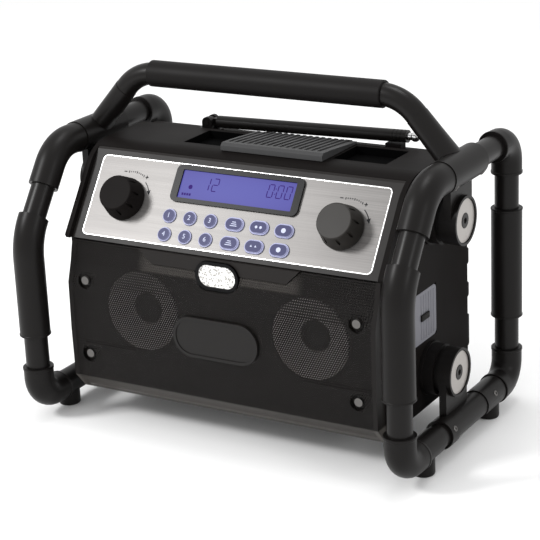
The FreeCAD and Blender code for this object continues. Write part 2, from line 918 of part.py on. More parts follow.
def peg(name, x, along, outer, low_off, high_off):
    return cylinder(name, outer, high_off - low_off,
                    on_panel(x, along, low_off).Base, outward)


bezel_in = -S("bezel_wall")


def panel_openings(name, low_off, high_off):
    # Tools that clear the keys, the shafts and the display through a wall.
    tools = []
    for label, kind, x, along in KEYS:
        grow = 2 * S("key_gap")
        if kind == "round":
            tools.append(peg("%s_%s" % (name, label), x, along, S("round_key") + grow,
                             low_off, high_off))
        else:
            tools.append(prism("%s_%s" % (name, label), x, along,
                               S("oval_key_length") + grow, S("oval_key_height") + grow,
                               low_off, high_off, S("oval_key_height") * 0.49))
    for side in (-1, 1):
        tools.append(peg("%s_shaft_%d" % (name, side + 1), S("knob_offset") * side,
                         S("knob_slope"), S("shaft_hole"), low_off, high_off))
    mid = (S("window_top") + S("window_bottom")) / 2
    tools.append(prism(name + "_window", 0, mid, S("window_half_width") * 2 + 0.4,
                       S("window_bottom") - S("window_top") + 0.4, low_off, high_off))
    return tools


# Control panel: brushed plate in the slope
plate = slab("control_panel_plate", -S("panel_half_width"), S("panel_half_width"),
             -S("panel_slope"), 0, -S("panel_thickness"), S("panel_thickness"),
             S("panel_corner"))
plate.Placement = ON_PANEL
keep("control_panel", cut("control_panel", plate,
                          panel_openings("plate", -S("panel_thickness") - 1, size_of(1))))

# Display: a raised dark frame round the glass
frame_mid = (S("display_top") + S("display_bottom")) / 2
window_mid = (S("window_top") + S("window_bottom")) / 2
frame_block = prism("display_frame", 0, frame_mid, S("display_half_width") * 2,
                    S("display_bottom") - S("display_top"), size_of(0.02),
                    S("display_proud"), S("display_corner"))
frame_window = prism("display_opening", 0, window_mid, S("window_half_width") * 2,
                     S("window_bottom") - S("window_top"), size_of(-1),
                     S("display_proud") + 1, size_of(1.0))
keep("display_bezel", cut("display_bezel", frame_block, [frame_window]))
keep("lcd_module", prism("lcd_module", 0, window_mid, S("window_half_width") * 2 - 0.4,
                         S("window_bottom") - S("window_top") - 0.4,
                         S("board_front") + 0.1, S("lcd_front"), size_of(0.8)))

# Keys: a skirt in the plate, a smaller cap, and a flange behind the wall
flange_top = bezel_in - 0.3
flange_low = flange_top - S("key_flange")
for label, kind, x, along in KEYS:
    top = S("key_shoulder") + S("key_cap_height")
    if kind == "round":
        pieces = [
            peg(label + "_skirt", x, along, S("round_key"), flange_low, S("key_shoulder")),
            peg(label + "_cap", x, along, S("round_cap"), S("key_shoulder") - 0.5, top),
            peg(label + "_flange", x, along, S("round_key") + 2 * S("key_flange_out"),
                flange_low, flange_top),
        ]
    else:
        width = S("oval_key_length")
        height = S("oval_key_height")
        inset = 2 * S("key_cap_inset")
        spread = 2 * S("key_flange_out")
        pieces = [
            prism(label + "_skirt", x, along, width, height, flange_low,
                  S("key_shoulder"), height * 0.49),
            prism(label + "_cap", x, along, width - inset, height - inset,
                  S("key_shoulder") - 0.5, top, (height - inset) * 0.49),
            prism(label + "_flange", x, along, width + spread, height + spread,
                  flange_low, flange_top, (height + spread) * 0.45),
        ]
    keep(label, join(label, pieces))

# Control board with its switches and rotary encoders
board_mid = (S("board_top") + S("board_bottom")) / 2
board_front = S("board_front")
board_parts = [prism("board_plate", 0, board_mid, S("board_half_width") * 2,
                     S("board_bottom") - S("board_top"), board_front - S("board_thickness"),
                     board_front)]
for label, kind, x, along in KEYS:
    board_parts.append(prism(label + "_switch", x, along, S("switch_width"),
                             S("switch_width"), board_front - 0.5,
                             board_front + S("switch_height")))
board_holes = []
for side in (-1, 1):
    tag = "left" if side < 0 else "right"
    x = S("knob_offset") * side
    board_parts.append(prism("encoder_" + tag, x, S("knob_slope"), S("encoder_width"),
                             S("encoder_width"), board_front - 0.5,
                             board_front + S("encoder_height")))
    board_holes.append(peg("encoder_bore_" + tag, x, S("knob_slope"),
                           S("shaft_outer") + 2 * S("tube_fit"),
                           board_front, board_front + S("encoder_height") + 1))
keep("control_board", cut("control_board", join("control_board_solid", board_parts),
                          board_holes))


# Knobs: a tapered barrel with grip notches, on a shaft that can be pressed
def knob_shape(name):
    body = new_body(name)
    sketch = sketch_on(body, name + "_profile", "XZ_Plane")
    foot_z = S("knob_lift")
    head_z = S("knob_lift") + S("knob_height")
    bore = S("shaft_outer") / 2 + S("tube_fit")
    add_outline(sketch, [
        (bore, foot_z), (S("knob_base") / 2, foot_z),
        (S("knob_base") / 2, foot_z + 2), (S("knob_face") / 2, head_z),
        (size_of(0.0), head_z), (size_of(0.0), S("shaft_top") + 0.1),
        (bore, S("shaft_top") + 0.1)])
    turned = body.newObject("PartDesign::Revolution", name + "_barrel")
    turned.Profile = sketch
    turned.ReferenceAxis = (sketch, ["V_Axis"])
    turned.Angle = 360
    body.Tip = turned
    soften(body, name + "_edge", S("knob_edge"),
           lambda e: hasattr(e.Curve, "Center")
           and abs(e.Curve.Center.z - float(head_z)) < 1e-6)
    notch = sketch_on(body, name + "_notch_outline", "XY_Plane", foot_z + 4)
    add_circle(notch, 0, S("knob_face") / 2 + S("knob_notch") * 0.55, S("knob_notch"))
    groove = extrude(body, name + "_notch", notch, S("knob_height") + 2,
                     "PartDesign::Pocket", back=True)
    doc.recompute()
    spread = body.newObject("PartDesign::PolarPattern", name + "_notches")
    spread.Originals = [groove]
    spread.Axis = (notch, ["N_Axis"])
    spread.Angle = 360
    bind(spread, "Occurrences", S("knob_notch_count"))
    body.Tip = spread
    return body


for side, tag in ((-1, "left"), (1, "right")):
    x = S("knob_offset") * side
    keep("knob_" + tag, knob_shape("knob_" + tag), on_panel(x, S("knob_slope")))
    keep("knob_shaft_" + tag, peg("knob_shaft_" + tag, x, S("knob_slope"),
                                  S("shaft_outer"), S("shaft_bottom"), S("shaft_top")))

# Side view outlines drawn in the YZ plane and padded evenly to both sides
def side_slab(name, points, half_width):
    body = new_body(name)
    sketch = sketch_on(body, name + "_outline", "YZ_Plane")
    add_outline(sketch, points)
    extrude(body, name + "_pad", sketch, half_width * 2, symmetric=True)
    return body


wall = S("wall")
top = S("top_front_height")
case_half = S("body_half_width") + S("cheek_gap")
nose_y, nose_z = on_slope(S("panel_slope") + S("bezel_below"), size_of(0))
proud_y, proud_z = on_slope(S("panel_slope") + S("bezel_below"), S("cheek_proud"))
rise_tan = 1 / math.tan(tilt)
brow_y = proud_y + (top - proud_z) * rise_tan
rear = S("body_rear")
ledge = S("ledge_front")
ledge_z = S("top_rear_height")
floor_z = S("cheek_bottom")

# Rear housing: one moulding with both end cheeks
case_outer = side_slab("case_outer", [
    (S("cheek_front"), floor_z), (S("cheek_front"), S("cheek_nose")),
    (proud_y + 1.5, S("cheek_nose")), (proud_y, proud_z), (brow_y, top),
    (ledge, top), (ledge, ledge_z), (rear, ledge_z), (rear, floor_z)],
    S("cheek_out"))


def along_x_at(y, z):
    def near(centre):
        return abs(centre.y - float(y)) < 0.01 and abs(centre.z - float(z)) < 0.01
    return straight_along(X_AXIS, near)


soften(case_outer, "case_brow", S("cheek_round"), along_x_at(brow_y, top))
soften(case_outer, "case_back", S("rear_round"), along_x_at(rear, ledge_z))
soften(case_outer, "case_heel", S("rear_round"), along_x_at(rear, floor_z))

far_front = size_of(-130)
split_y = S("split_depth")
seam_y = S("seam_depth")
case_front = side_slab("case_front", [
    (far_front, size_of(0)), (split_y, size_of(0)), (split_y, S("split_knee")),
    (seam_y, S("split_shoulder")), (seam_y, size_of(300)), (far_front, size_of(300))],
    case_half)
case_inner = side_slab("case_inner", [
    (split_y - 1, floor_z + wall), (rear - wall, floor_z + wall),
    (rear - wall, ledge_z - wall - 6), (rear - wall - 6, ledge_z - wall),
    (ledge - wall, ledge_z - wall), (ledge - wall, top - wall),
    (brow_y + 12, top - wall), (seam_y - 1, top - wall - 5),
    (seam_y - 1, S("split_shoulder")), (split_y - 1, S("split_knee"))],
    case_half)
case_shell = cut("case_shell", case_outer, [case_front, case_inner])

box_x0 = S("lid_left") + S("box_inset")
box_x1 = S("lid_right") - S("box_inset")
box_wall = S("box_wall")
bay_x = S("cheek_out") - S("cover_thickness") - S("cover_gap")
bay_in = bay_x - S("bay_depth")
bay_y0 = S("cover_front") + S("bay_inset")
bay_y1 = S("cover_rear") - S("bay_inset")
bay_z0 = S("cover_bottom") + S("bay_inset")
bay_z1 = S("cover_top") - S("bay_inset")
bat_wall = S("battery_wall")
bat_half = S("battery_half_width")
recess_z = top - S("recess_deep")
hinge_y = S("lid_hinge_depth")
hinge_z = S("lid_hinge_height")
lug_from = S("lid_left") + 8
lug_to = S("lid_right") - 8
lug_wide = size_of(6)
door_axis_z = S("battery_bottom") - S("door_margin") - S("door_hinge") / 2 - 0.3
door_axis_y = rear + S("door_gap") + S("door_hinge") / 2
door_half = bat_half + S("door_margin")
cover_axis_x = S("cheek_out") - S("cover_hinge") / 2
cover_axis_y = S("cover_front") + S("cover_hinge") / 2
cover_hinge_gap = S("cover_gap")

case_adds = [
    block("box_walls", (box_x0 - box_wall, S("box_front") - box_wall, S("box_floor") - box_wall),
          (box_x1 + box_wall, S("box_rear") + box_wall, top - 1)),
    block("battery_walls", (-bat_half - bat_wall, S("battery_floor") - bat_wall,
                            S("battery_bottom") - bat_wall),
          (bat_half + bat_wall, rear - 1, S("battery_top") + bat_wall)),
    block("bay_walls", (bay_in - 2, bay_y0 - 2, bay_z0 - 2), (bay_x, bay_y1 + 2, bay_z1 + 2)),
    block("right_tray", (S("recess_right_from") - 2, S("recess_front") - 2, recess_z - 2),
          (S("recess_right_to") + 2, S("recess_rear") + 2, top - 1)),
    block("left_tray", (S("recess_left_from") - 2, S("recess_front") - 2, recess_z - 2),
          (S("recess_left_to") + 2, S("recess_rear") + 2, top - 1)),
    cylinder("antenna_boss", S("antenna_peg") + 6, size_of(9),
             vec(S("antenna_x"), S("antenna_y"), ledge_z - 9.5), Z_AXIS),
    block("rod_rest", (size_of(96), S("antenna_y") - 5, ledge_z - 1),
          (size_of(112), S("antenna_y") + 5, size_of(258.5))),
]
case_cuts = [
    block("box_hollow", (box_x0, S("box_front"), S("box_floor")),
          (box_x1, S("box_rear"), top + 20)),
    block("battery_hollow", (-bat_half, S("battery_floor"), S("battery_bottom")),
          (bat_half, rear + 10, S("battery_top"))),
    block("cover_pocket", (bay_x, S("cover_front") - cover_hinge_gap,
                           S("cover_bottom") - cover_hinge_gap),
          (S("cheek_out") + 5, S("cover_rear") + cover_hinge_gap,
           S("cover_top") + cover_hinge_gap)),
    block("cover_relief", (cover_axis_x, S("cover_front") - S("cover_relief"),
                           S("cover_bottom") - cover_hinge_gap),
          (S("cheek_out") + 5, S("cover_front"), S("cover_top") + cover_hinge_gap)),
    block("bay_hollow", (bay_in, bay_y0, bay_z0), (S("cheek_out"), bay_y1, bay_z1)),
    block("right_recess", (S("recess_right_from"), S("recess_front"), recess_z),
          (S("recess_right_to"), S("recess_rear"), top + 5)),
    block("left_recess", (S("recess_left_from"), S("recess_front"), recess_z),
          (S("recess_left_to"), S("recess_rear"), top + 5)),
    cylinder("antenna_socket", S("antenna_peg") + 2 * S("tube_fit"), size_of(7),
             vec(S("antenna_x"), S("antenna_y"), ledge_z - 6), Z_AXIS),
    cylinder("rod_groove", S("antenna_rod") + 0.6, size_of(60),
             vec(S("antenna_x") + 170, S("antenna_y"),
                 S("antenna_axis_height") + 170 * math.tan(math.radians(SIZES["antenna_rise"]))),
             Vector(1, 0, math.tan(math.radians(SIZES["antenna_rise"])))),
    cylinder("cover_pin_hole", S("cover_pin") + 2 * S("tube_fit"),
             S("cover_top") - S("cover_bottom") + 8,
             vec(cover_axis_x, cover_axis_y, S("cover_bottom") - 4), Z_AXIS),
]
for i, start in enumerate((lug_from, lug_to - lug_wide)):
    case_adds.append(cylinder("lid_lug_%d" % i, S("lid_hinge_outer"), lug_wide,
                              vec(start, hinge_y, hinge_z), X_AXIS))
    case_adds.append(block("lid_lug_foot_%d" % i,
                           (start, hinge_y - S("lid_hinge_outer") / 2, ledge_z - 1),
                           (start + lug_wide, hinge_y + S("lid_hinge_outer") / 2, hinge_z)))
case_cuts.append(cylinder("lid_pin_hole", S("lid_pin") + 2 * S("tube_fit"),
                          lug_to - lug_from + 4, vec(lug_from - 2, hinge_y, hinge_z), X_AXIS))
for i, side in enumerate((-1, 1)):
    start = side * (door_half - 9) - 3
    case_adds.append(cylinder("door_lug_%d" % i, S("door_hinge"), size_of(6),
                              vec(start, door_axis_y, door_axis_z), X_AXIS))
    case_adds.append(block("door_lug_foot_%d" % i,
                           (start, rear - 1, door_axis_z - S("door_hinge") / 2),
                           (start + 6, door_axis_y, door_axis_z + S("door_hinge") / 2)))
case_cuts.append(cylinder("door_pin_hole", S("door_pin") + 2 * S("tube_fit"), door_half * 2,
                          vec(-door_half, door_axis_y, door_axis_z), X_AXIS))
for place, (out, y, z) in (("upper", UPPER), ("lower", LOWER)):
    for i, side in enumerate((-1, 1)):
        direction = X_AXIS * side
        case_adds.append(cylinder("%s_seat_%d" % (place, i), size_of(22),
                                  S("cheek_out") - S("bolt_reach"),
                                  vec(side * (S("bolt_reach") - 1), y, z), direction))
        case_cuts.append(cylinder("%s_seat_hole_%d" % (place, i),
                                  S("bolt_shank") + 2 * S("tube_fit"), size_of(30),
                                  vec(side * (S("bolt_reach") - 3), y, z), direction))
keep("rear_housing", cut("rear_housing", join("case_solid", [case_shell] + case_adds),
                         case_cuts))

# Front housing: sloped bezel, baffle and floor lip
seam_gap = S("seam_gap")
face_y = S("baffle_face")
back_y = S("baffle_back")
front_half = S("body_half_width")
seam_low = seam_y - seam_gap
lip_y, lip_z = on_slope(-S("bezel_above"), size_of(0))
front_outer = side_slab("front_outer", [
    (seam_low, S("split_shoulder") - 0.4), (seam_low, lip_z + 1.6), (lip_y, lip_z),
    (nose_y, nose_z), (nose_y + 1.2, nose_z - 0.8), (face_y, nose_z - 0.8),
    (face_y, S("body_bottom")), (split_y - seam_gap, S("body_bottom")),
    (split_y - seam_gap, S("split_knee") + 0.4)], front_half)
inner_top_y, inner_top_z = on_slope(size_of(1), -S("bezel_wall"))
inner_low_y, inner_low_z = on_slope(S("panel_slope") - 1, -S("bezel_wall"))
front_inner = side_slab("front_inner", [
    (back_y, S("body_bottom") + wall), (size_of(0), S("body_bottom") + wall),
    (size_of(0), inner_top_z), (inner_top_y, inner_top_z),
    (inner_low_y, inner_low_z), (back_y, inner_low_z - 9)], front_half - wall)
panel_seat = slab("panel_seat", -S("panel_half_width") - S("panel_gap"),
                  S("panel_half_width") + S("panel_gap"),
                  -S("panel_slope") - S("panel_gap"), S("panel_gap"),
                  -S("panel_thickness") - 0.1, size_of(3), S("panel_corner"))
panel_seat.Placement = ON_PANEL
front_adds = []
front_cuts = [panel_seat] + panel_openings("wall", -S("bezel_wall") - 3, size_of(-0.5))
for i, side in enumerate((-1, 1)):
    for j, along in enumerate((S("standoff_slope_1"), S("standoff_slope_2"))):
        front_adds.append(peg("standoff_%d_%d" % (i, j), S("standoff_offset") * side, along,
                              S("standoff_outer"), board_front + 0.02,
                              -S("bezel_wall") + 0.5))
    x = S("speaker_offset") * side
    front_cuts.append(cylinder("speaker_hole_%d" % i, S("speaker_hole"), size_of(20),
                               vec(x, face_y - 5, S("speaker_height")), Y_AXIS))
    for j, z in enumerate((S("grille_screw_high"), S("grille_screw_low"))):
        x = S("grille_screw_offset") * side
        front_adds.append(cylinder("screw_boss_%d_%d" % (i, j), S("screw_pillar") - 8,
                                   size_of(8), vec(x, face_y + 1, z), Y_AXIS))
        front_cuts.append(cylinder("screw_bore_%d_%d" % (i, j),
                                   S("screw_shank") + 2 * S("tube_fit"), size_of(40),
                                   vec(x, face_y - 20, z), Y_AXIS))


def front_slab(name, points, near, far, corner=None, corner_test=None):
    # Plate drawn in the front view, from a near depth to a far depth.
    body = new_body(name)
    sketch = sketch_on(body, name + "_outline", "XZ_Plane", -far)
    add_outline(sketch, points)
    extrude(body, name + "_pad", sketch, far - near)
    if corner is not None:
        soften(body, name + "_corners", corner, straight_along(Y_AXIS))
    return body


def stadium(name, half_width, half_height, centre_z, near, far):
    return front_slab(name, rectangle(-half_width, half_width, centre_z - half_height,
                                      centre_z + half_height),
                      near, far, half_height * 0.98)


tongue = front_slab("tongue", [
    (-S("tongue_low_half"), S("tongue_low")), (S("tongue_low_half"), S("tongue_low")),
    (S("tongue_top_half"), nose_z - 0.9), (-S("tongue_top_half"), nose_z - 0.9)],
    S("tongue_face"), face_y + 1)
front_adds.append(tongue)
front_cuts.append(stadium("lamp_seat", S("lamp_half_width") + 0.3,
                          S("lamp_half_height") + 0.3, S("lamp_height"),
                          size_of(-120), face_y - 0.05))
front_shell = cut("front_shell", front_outer, [front_inner])
keep("front_housing", cut("front_housing", join("front_solid", [front_shell] + front_adds),
                          front_cuts))

# Lamp and badge
lamp_out = stadium("lamp_out", S("lamp_half_width"), S("lamp_half_height"),
                   S("lamp_height"), S("lamp_front"), face_y - 0.1)
lens_half = S("lamp_half_width") - S("lamp_rim")
lens_high = S("lamp_half_height") - S("lamp_rim")
lamp_in = stadium("lamp_in", lens_half, lens_high, S("lamp_height"),
                  S("lamp_front") - 5, face_y + 5)
keep("lamp_bezel", cut("lamp_bezel", lamp_out, [lamp_in]))
keep("lamp_lens", stadium("lamp_lens", lens_half - 0.1, lens_high - 0.1, S("lamp_height"),
                          S("lens_front"), face_y - 0.1))
badge_out = stadium("badge_out", S("badge_half_width"), S("badge_half_height"),
                    S("badge_height"), S("badge_front"), S("grille_face") - 0.1)
badge_field = stadium("badge_field", S("badge_half_width") - S("badge_rim"),
                      S("badge_half_height") - S("badge_rim"), S("badge_height"),
                      S("badge_front") - 2, S("badge_front") + S("badge_rim_height"))
keep("badge_plate", cut("badge_plate", badge_out, [badge_field]))

# Grille: a creased tray in front of the speakers
tray_back = S("grille_bottom_depth")
grille_face = [
    (tray_back, S("grille_bottom")), (S("grille_face") + 1, S("grille_chin")),
    (S("grille_face"), (S("grille_chin") + S("grille_brow")) / 2),
    (S("grille_brow_depth"), S("grille_brow")),
    (S("grille_crease_2_depth"), S("grille_crease_2")),
    (S("grille_crease_1_depth"), S("grille_crease_1")),
    (S("grille_top_depth"), S("grille_top"))]
skin = S("grille_wall")
rim_y = face_y - 0.6
grille_outer = side_slab("grille_outer", grille_face + [
    (rim_y, S("grille_top")), (rim_y, S("grille_bottom"))], S("grille_half_width"))
grille_inner = side_slab("grille_inner", [
    (y + skin * 1.1, z + (skin if i == 0 else size_of(0) - (skin if i == 6 else 0)))
    for i, (y, z) in enumerate(grille_face)] + [
    (rim_y + 5, S("grille_top") - skin), (rim_y + 5, S("grille_bottom") + skin)],
    S("grille_half_width") - skin)
pillars = []
grille_cuts = []
grille_bores = []
for i, side in enumerate((-1, 1)):
    for j, z in enumerate((S("grille_screw_high"), S("grille_screw_low"))):
        at = (S("grille_screw_offset") * side, z)
        tag = "%d_%d" % (i, j)
        pillar = cylinder("pillar_" + tag, S("screw_pillar"), size_of(30),
                          vec(at[0], S("screw_pocket_floor") + skin - 30, at[1]), Y_AXIS)
        shaped = part("Part::Common", "pillar_cut_" + tag)
        shaped.Base = pillar
        shaped.Tool = side_slab("pillar_form_" + tag, grille_face + [
            (rim_y, S("grille_top")), (rim_y, S("grille_bottom"))], S("grille_half_width"))
        pillars.append(shaped)
        grille_cuts.append(cylinder("pocket_" + tag, S("screw_pocket"), size_of(30),
                                    vec(at[0], S("screw_pocket_floor") - 30, at[1]), Y_AXIS))
        grille_bores.append(cylinder("pocket_hole_" + tag, S("screw_hole"), size_of(30),
                                    vec(at[0], S("screw_pocket_floor") - 10, at[1]), Y_AXIS))
gap = S("tongue_gap")
slant = (S("tongue_top_half") - S("tongue_low_half")) / (nose_z - 0.9 - S("tongue_low"))
grille_notch = [front_slab("tongue_notch", [
    (-S("tongue_low_half") - gap, S("tongue_low") - gap),
    (S("tongue_low_half") + gap, S("tongue_low") - gap),
    (S("tongue_top_half") + gap * 2 + slant * 5, nose_z + 4.1),
    (-S("tongue_top_half") - gap * 2 - slant * 5, nose_z + 4.1)],
    size_of(-120), size_of(-70))]
grille_notch.append(stadium("lamp_notch", S("lamp_half_width") + gap,
                            S("lamp_half_height") + gap, S("lamp_height"),
                            size_of(-121), size_of(-69)))
grille_hollow = cut("grille_hollow", grille_outer, [grille_inner])
grille_below_tongue = cut("grille_below_tongue", grille_hollow, grille_notch[:1])
grille_tray = cut("grille_tray", grille_below_tongue, grille_notch[1:])
grille_solid = join("grille_solid", [grille_tray] + pillars)
for i, tool in enumerate(grille_cuts + grille_bores):
    grille_solid = cut("grille_step_%d" % i, grille_solid, [tool], refine=False)
keep("grille", grille_solid)

screws = []
for i, side in enumerate((-1, 1)):
    for j, z in enumerate((S("grille_screw_high"), S("grille_screw_low"))):
        at = vec(S("grille_screw_offset") * side, S("screw_pocket_floor") - 0.05, z)
        tag = "screw_%d_%d" % (i, j)
        head = cylinder(tag + "_head", S("screw_head"), S("screw_head_height"), at, -Y_AXIS)
        shank = cylinder(tag + "_shank", S("screw_shank"), S("screw_length"),
                         at - Y_AXIS, Y_AXIS)
        screws.append(join(tag, [head, shank]))
keep("grille_screws", group("grille_screws", screws))


# Speakers: flange on the baffle, basket and magnet behind it
def speaker(name, x):
    flange_y = face_y - S("speaker_flange_thickness") - 0.1
    at = vec(x, flange_y, S("speaker_height"))
    flange = cylinder(name + "_flange", S("speaker_flange"), S("speaker_flange_thickness"),
                      at, Y_AXIS)
    basket = cone(name + "_basket", S("speaker_basket"), S("magnet_outer"),
                  S("speaker_depth") - S("magnet_length"), at + Y_AXIS, Y_AXIS)
    magnet = cylinder(name + "_magnet", S("magnet_outer"), S("magnet_length"),
                      at + Y_AXIS * float(S("speaker_depth") - S("magnet_length")), Y_AXIS)
    hollow = cone(name + "_cone", S("cone_outer"), S("dust_cap"), S("cone_depth"),
                  at - Y_AXIS * 0.01, Y_AXIS)
    return cut(name, join(name + "_solid", [flange, basket, magnet]), [hollow])


keep("speaker_left", speaker("speaker_left", -S("speaker_offset")))
keep("speaker_right", speaker("speaker_right", S("speaker_offset")))

# Ribbed lid over the device box
lid_low = top + S("lid_gap")
lid_body = new_body("lid_body")
lid_sketch = sketch_on(lid_body, "lid_profile", "YZ_Plane", S("lid_left"))
add_outline(lid_sketch, [
    (S("lid_front"), lid_low), (S("lid_rear"), lid_low), (S("lid_rear"), S("lid_rear_top")),
    (S("lid_front") + 16, S("lid_front_top") - 0.6), (S("lid_front") + 3, S("lid_front_top")),
    (S("lid_front"), S("lid_front_top") - 2.4)])
extrude(lid_body, "lid_pad", lid_sketch, S("lid_right") - S("lid_left"))
lid_under = lid_body.newObject("Sketcher::SketchObject", "lid_under_profile")
lid_under.AttachmentSupport = [(origin_plane(lid_body, "YZ_Plane"), "")]
lid_under.MapMode = "FlatFace"
bind(lid_under, "AttachmentOffset.Base.z", S("lid_left") + 3)
add_outline(lid_under, [
    (S("lid_front") + 3, lid_low - 1), (S("lid_front") + 20, lid_low - 1),
    (S("lid_front") + 20, lid_low + 3.6), (S("lid_front") + 3, lid_low + 4.2)])
extrude(lid_body, "lid_hollow", lid_under, S("lid_right") - S("lid_left") - 6,
        "PartDesign::Pocket", back=True)
lid_grooves = []
groove_count = SIZES["lid_rib_count"]
groove_pitch = (S("lid_right") - S("lid_left") - 6) / groove_count
for i in range(groove_count):
    x = S("lid_left") + 3 + groove_pitch * (i + 0.5)
    groove = part("Part::Box", "lid_groove_%d" % i)
    bind(groove, "Length", groove_pitch - S("lid_rib_width"))
    bind(groove, "Width", size_of(80))
    bind(groove, "Height", size_of(5))
    slope = math.atan2(SIZES["lid_front_top"] - 0.6 - SIZES["lid_rear_top"],
                       SIZES["lid_rear"] - SIZES["lid_front"] - 16)
    groove.Placement = Placement(
        vec(x - groove_pitch / 2, S("lid_front") + 8,
            S("lid_front_top") - S("lid_rib_depth")),
        Rotation(X_AXIS, -math.degrees(slope)))
    lid_grooves.append(groove)
knuckle_from = lug_from + lug_wide + 0.3
knuckle_to = lug_to - lug_wide - 0.3
lid_adds = [
    lid_body,
    cylinder("lid_knuckle", S("lid_hinge_outer"), knuckle_to - knuckle_from,
             vec(knuckle_from, hinge_y, hinge_z), X_AXIS),
    block("lid_neck", (knuckle_from, S("lid_rear") - 2, lid_low),
          (knuckle_to, hinge_y, hinge_z + S("lid_hinge_outer") / 2)),
    cylinder("lid_pins", S("lid_pin"), lug_to - lug_from,
             vec(lug_from, hinge_y, hinge_z), X_AXIS)]
keep("box_lid", cut("box_lid", join("lid_solid", lid_adds), lid_grooves))

# Side cover over the sockets, hinged at its front edge
cover_x0 = S("cheek_out") - S("cover_thickness")
cover_low = S("cover_bottom")
cover_high = S("cover_top")
cover_plate = block("cover_plate", (cover_x0, cover_axis_y, cover_low),
                    (S("cheek_out"), S("cover_rear"), cover_high))
cover_soft = round_edges("cover_soft", cover_plate, size_of(5), straight_along(
    X_AXIS, lambda centre: centre.y > 0))
cover_rib_cuts = []
for i in range(SIZES["cover_ribs"]):
    y = S("cover_rear") - 6 - 5.0 * i
    cover_rib_cuts.append(cylinder("cover_flute_%d" % i, size_of(2.4),
                                   cover_high - cover_low - 6,
                                   vec(S("cheek_out") + 1.2 - S("cover_rib_depth"), y,
                                       cover_low + 3), Z_AXIS))
cover_adds = [
    cover_soft,
    cylinder("cover_barrel", S("cover_hinge"), cover_high - cover_low,
             vec(cover_axis_x, cover_axis_y, cover_low), Z_AXIS),
    cylinder("cover_pins", S("cover_pin"), cover_high - cover_low + 6,
             vec(cover_axis_x, cover_axis_y, cover_low - 3), Z_AXIS)]
keep("port_cover", cut("port_cover", join("cover_solid", cover_adds), cover_rib_cuts))

sockets = [block("socket_plate", (bay_in + 0.05, bay_y0 + 0.3, bay_z0 + 0.3),
                 (bay_in + 2, bay_y1 - 0.3, bay_z1 - 0.3))]
socket_bores = []
for i in range(3):
    at = vec(bay_in + 1, (bay_y0 + bay_y1) / 2 + 15.0 * (i - 1), (bay_z0 + bay_z1) / 2)
    sockets.append(cylinder("socket_%d" % i, S("socket_outer"), size_of(5), at, X_AXIS))
    socket_bores.append(cylinder("socket_bore_%d" % i, S("socket_bore"), size_of(8),
                                 at + X_AXIS, X_AXIS))
keep("socket_panel", cut("socket_panel", join("socket_solid", sockets), socket_bores))

# Battery door in the back, hinged at its lower edge
door_y0 = rear + S("door_gap")
door_y1 = door_y0 + S("door_thickness")
door_low = S("battery_bottom") - S("door_margin")
door_high = S("battery_top") + S("door_margin")
door_plate = block("door_plate", (-door_half, door_y0, door_low),
                   (door_half, door_y1, door_high))
door_soft = round_edges("door_soft", door_plate, size_of(6), straight_along(
    Y_AXIS, lambda centre: centre.z > float(door_low) + 1))
door_cuts = []
for i in range(SIZES["door_ribs"]):
    z = door_high - 12 - 7.0 * i
    door_cuts.append(block("door_flute_%d" % i, (-bat_half * 0.6, door_y1 - 0.9, z),
                           (bat_half * 0.6, door_y1 + 1, z + 3)))
door_reach = door_half - 9 - 3 - 0.3
door_adds = [
    door_soft,
    cylinder("door_barrel", S("door_hinge"), door_reach * 2,
             vec(-door_reach, door_axis_y, door_axis_z), X_AXIS),
    block("door_neck", (-door_reach, door_y0, door_axis_z),
          (door_reach, door_y1, door_low + 1)),
    cylinder("door_pins", S("door_pin"), (door_reach + 5) * 2,
             vec(-door_reach - 5, door_axis_y, door_axis_z), X_AXIS)]
keep("battery_door", cut("battery_door", join("door_solid", door_adds), door_cuts))

# Rests on the back edges of the cheeks
pads = []
for i, side in enumerate((-1, 1)):
    for j, (z0, z1) in enumerate(((143.0, 159.0), (111.0, 125.6), (62.0, 93.8))):
        tag = "pad_%d_%d" % (i, j)
        inner = side * (S("cheek_out") - 14)
        outer = side * (S("cheek_out") - 0.5)
        x0, x1 = (inner, outer) if side > 0 else (outer, inner)
        plain = block(tag, (x0, rear + 0.05, size_of(z0)),
                      (x1, rear + S("pad_out"), size_of(z1)))
        pads.append(round_edges(tag + "_soft", plain, size_of(2.5), straight_along(
            X_AXIS, lambda centre: centre.y > float(rear) + 1)))
keep("rear_pads", group("rear_pads", pads))

# Telescopic antenna folded down along the back of the top
pivot = vec(S("antenna_x"), S("antenna_y"), S("antenna_axis_height"))
rise = math.radians(SIZES["antenna_rise"])
rod_way = Vector(math.cos(rise), 0, math.sin(rise))
base_top = ledge_z + S("antenna_base_height") + 0.05
fork_low = base_top - 0.5
fork_half = S("antenna_fork") / 2
tongue_half = S("antenna_tongue") / 2
fork_cheeks = []
for i, side in enumerate((-1, 1)):
    inner = side * (tongue_half + 0.3)
    outer = side * fork_half
    y0, y1 = (inner, outer) if side > 0 else (outer, inner)
    fork_cheeks.append(block("fork_%d" % i, (S("antenna_x") - 5.5, S("antenna_y") + y0, fork_low),
                             (S("antenna_x") + 5.5, S("antenna_y") + y1,
                              S("antenna_axis_height"))))
    fork_cheeks.append(cylinder("fork_eye_%d" % i, size_of(11), y1 - y0,
                                vec(S("antenna_x"), S("antenna_y") + y0,
                                    S("antenna_axis_height")), Y_AXIS))
fork_cheeks.append(cylinder("antenna_foot", S("antenna_base_outer"), S("antenna_base_height"),
                            vec(S("antenna_x"), S("antenna_y"), ledge_z + 0.05), Z_AXIS))
fork_cheeks.append(cylinder("antenna_peg", S("antenna_peg"), S("antenna_peg_length") + 1,
                            vec(S("antenna_x"), S("antenna_y"),
                                ledge_z - S("antenna_peg_length")), Z_AXIS))
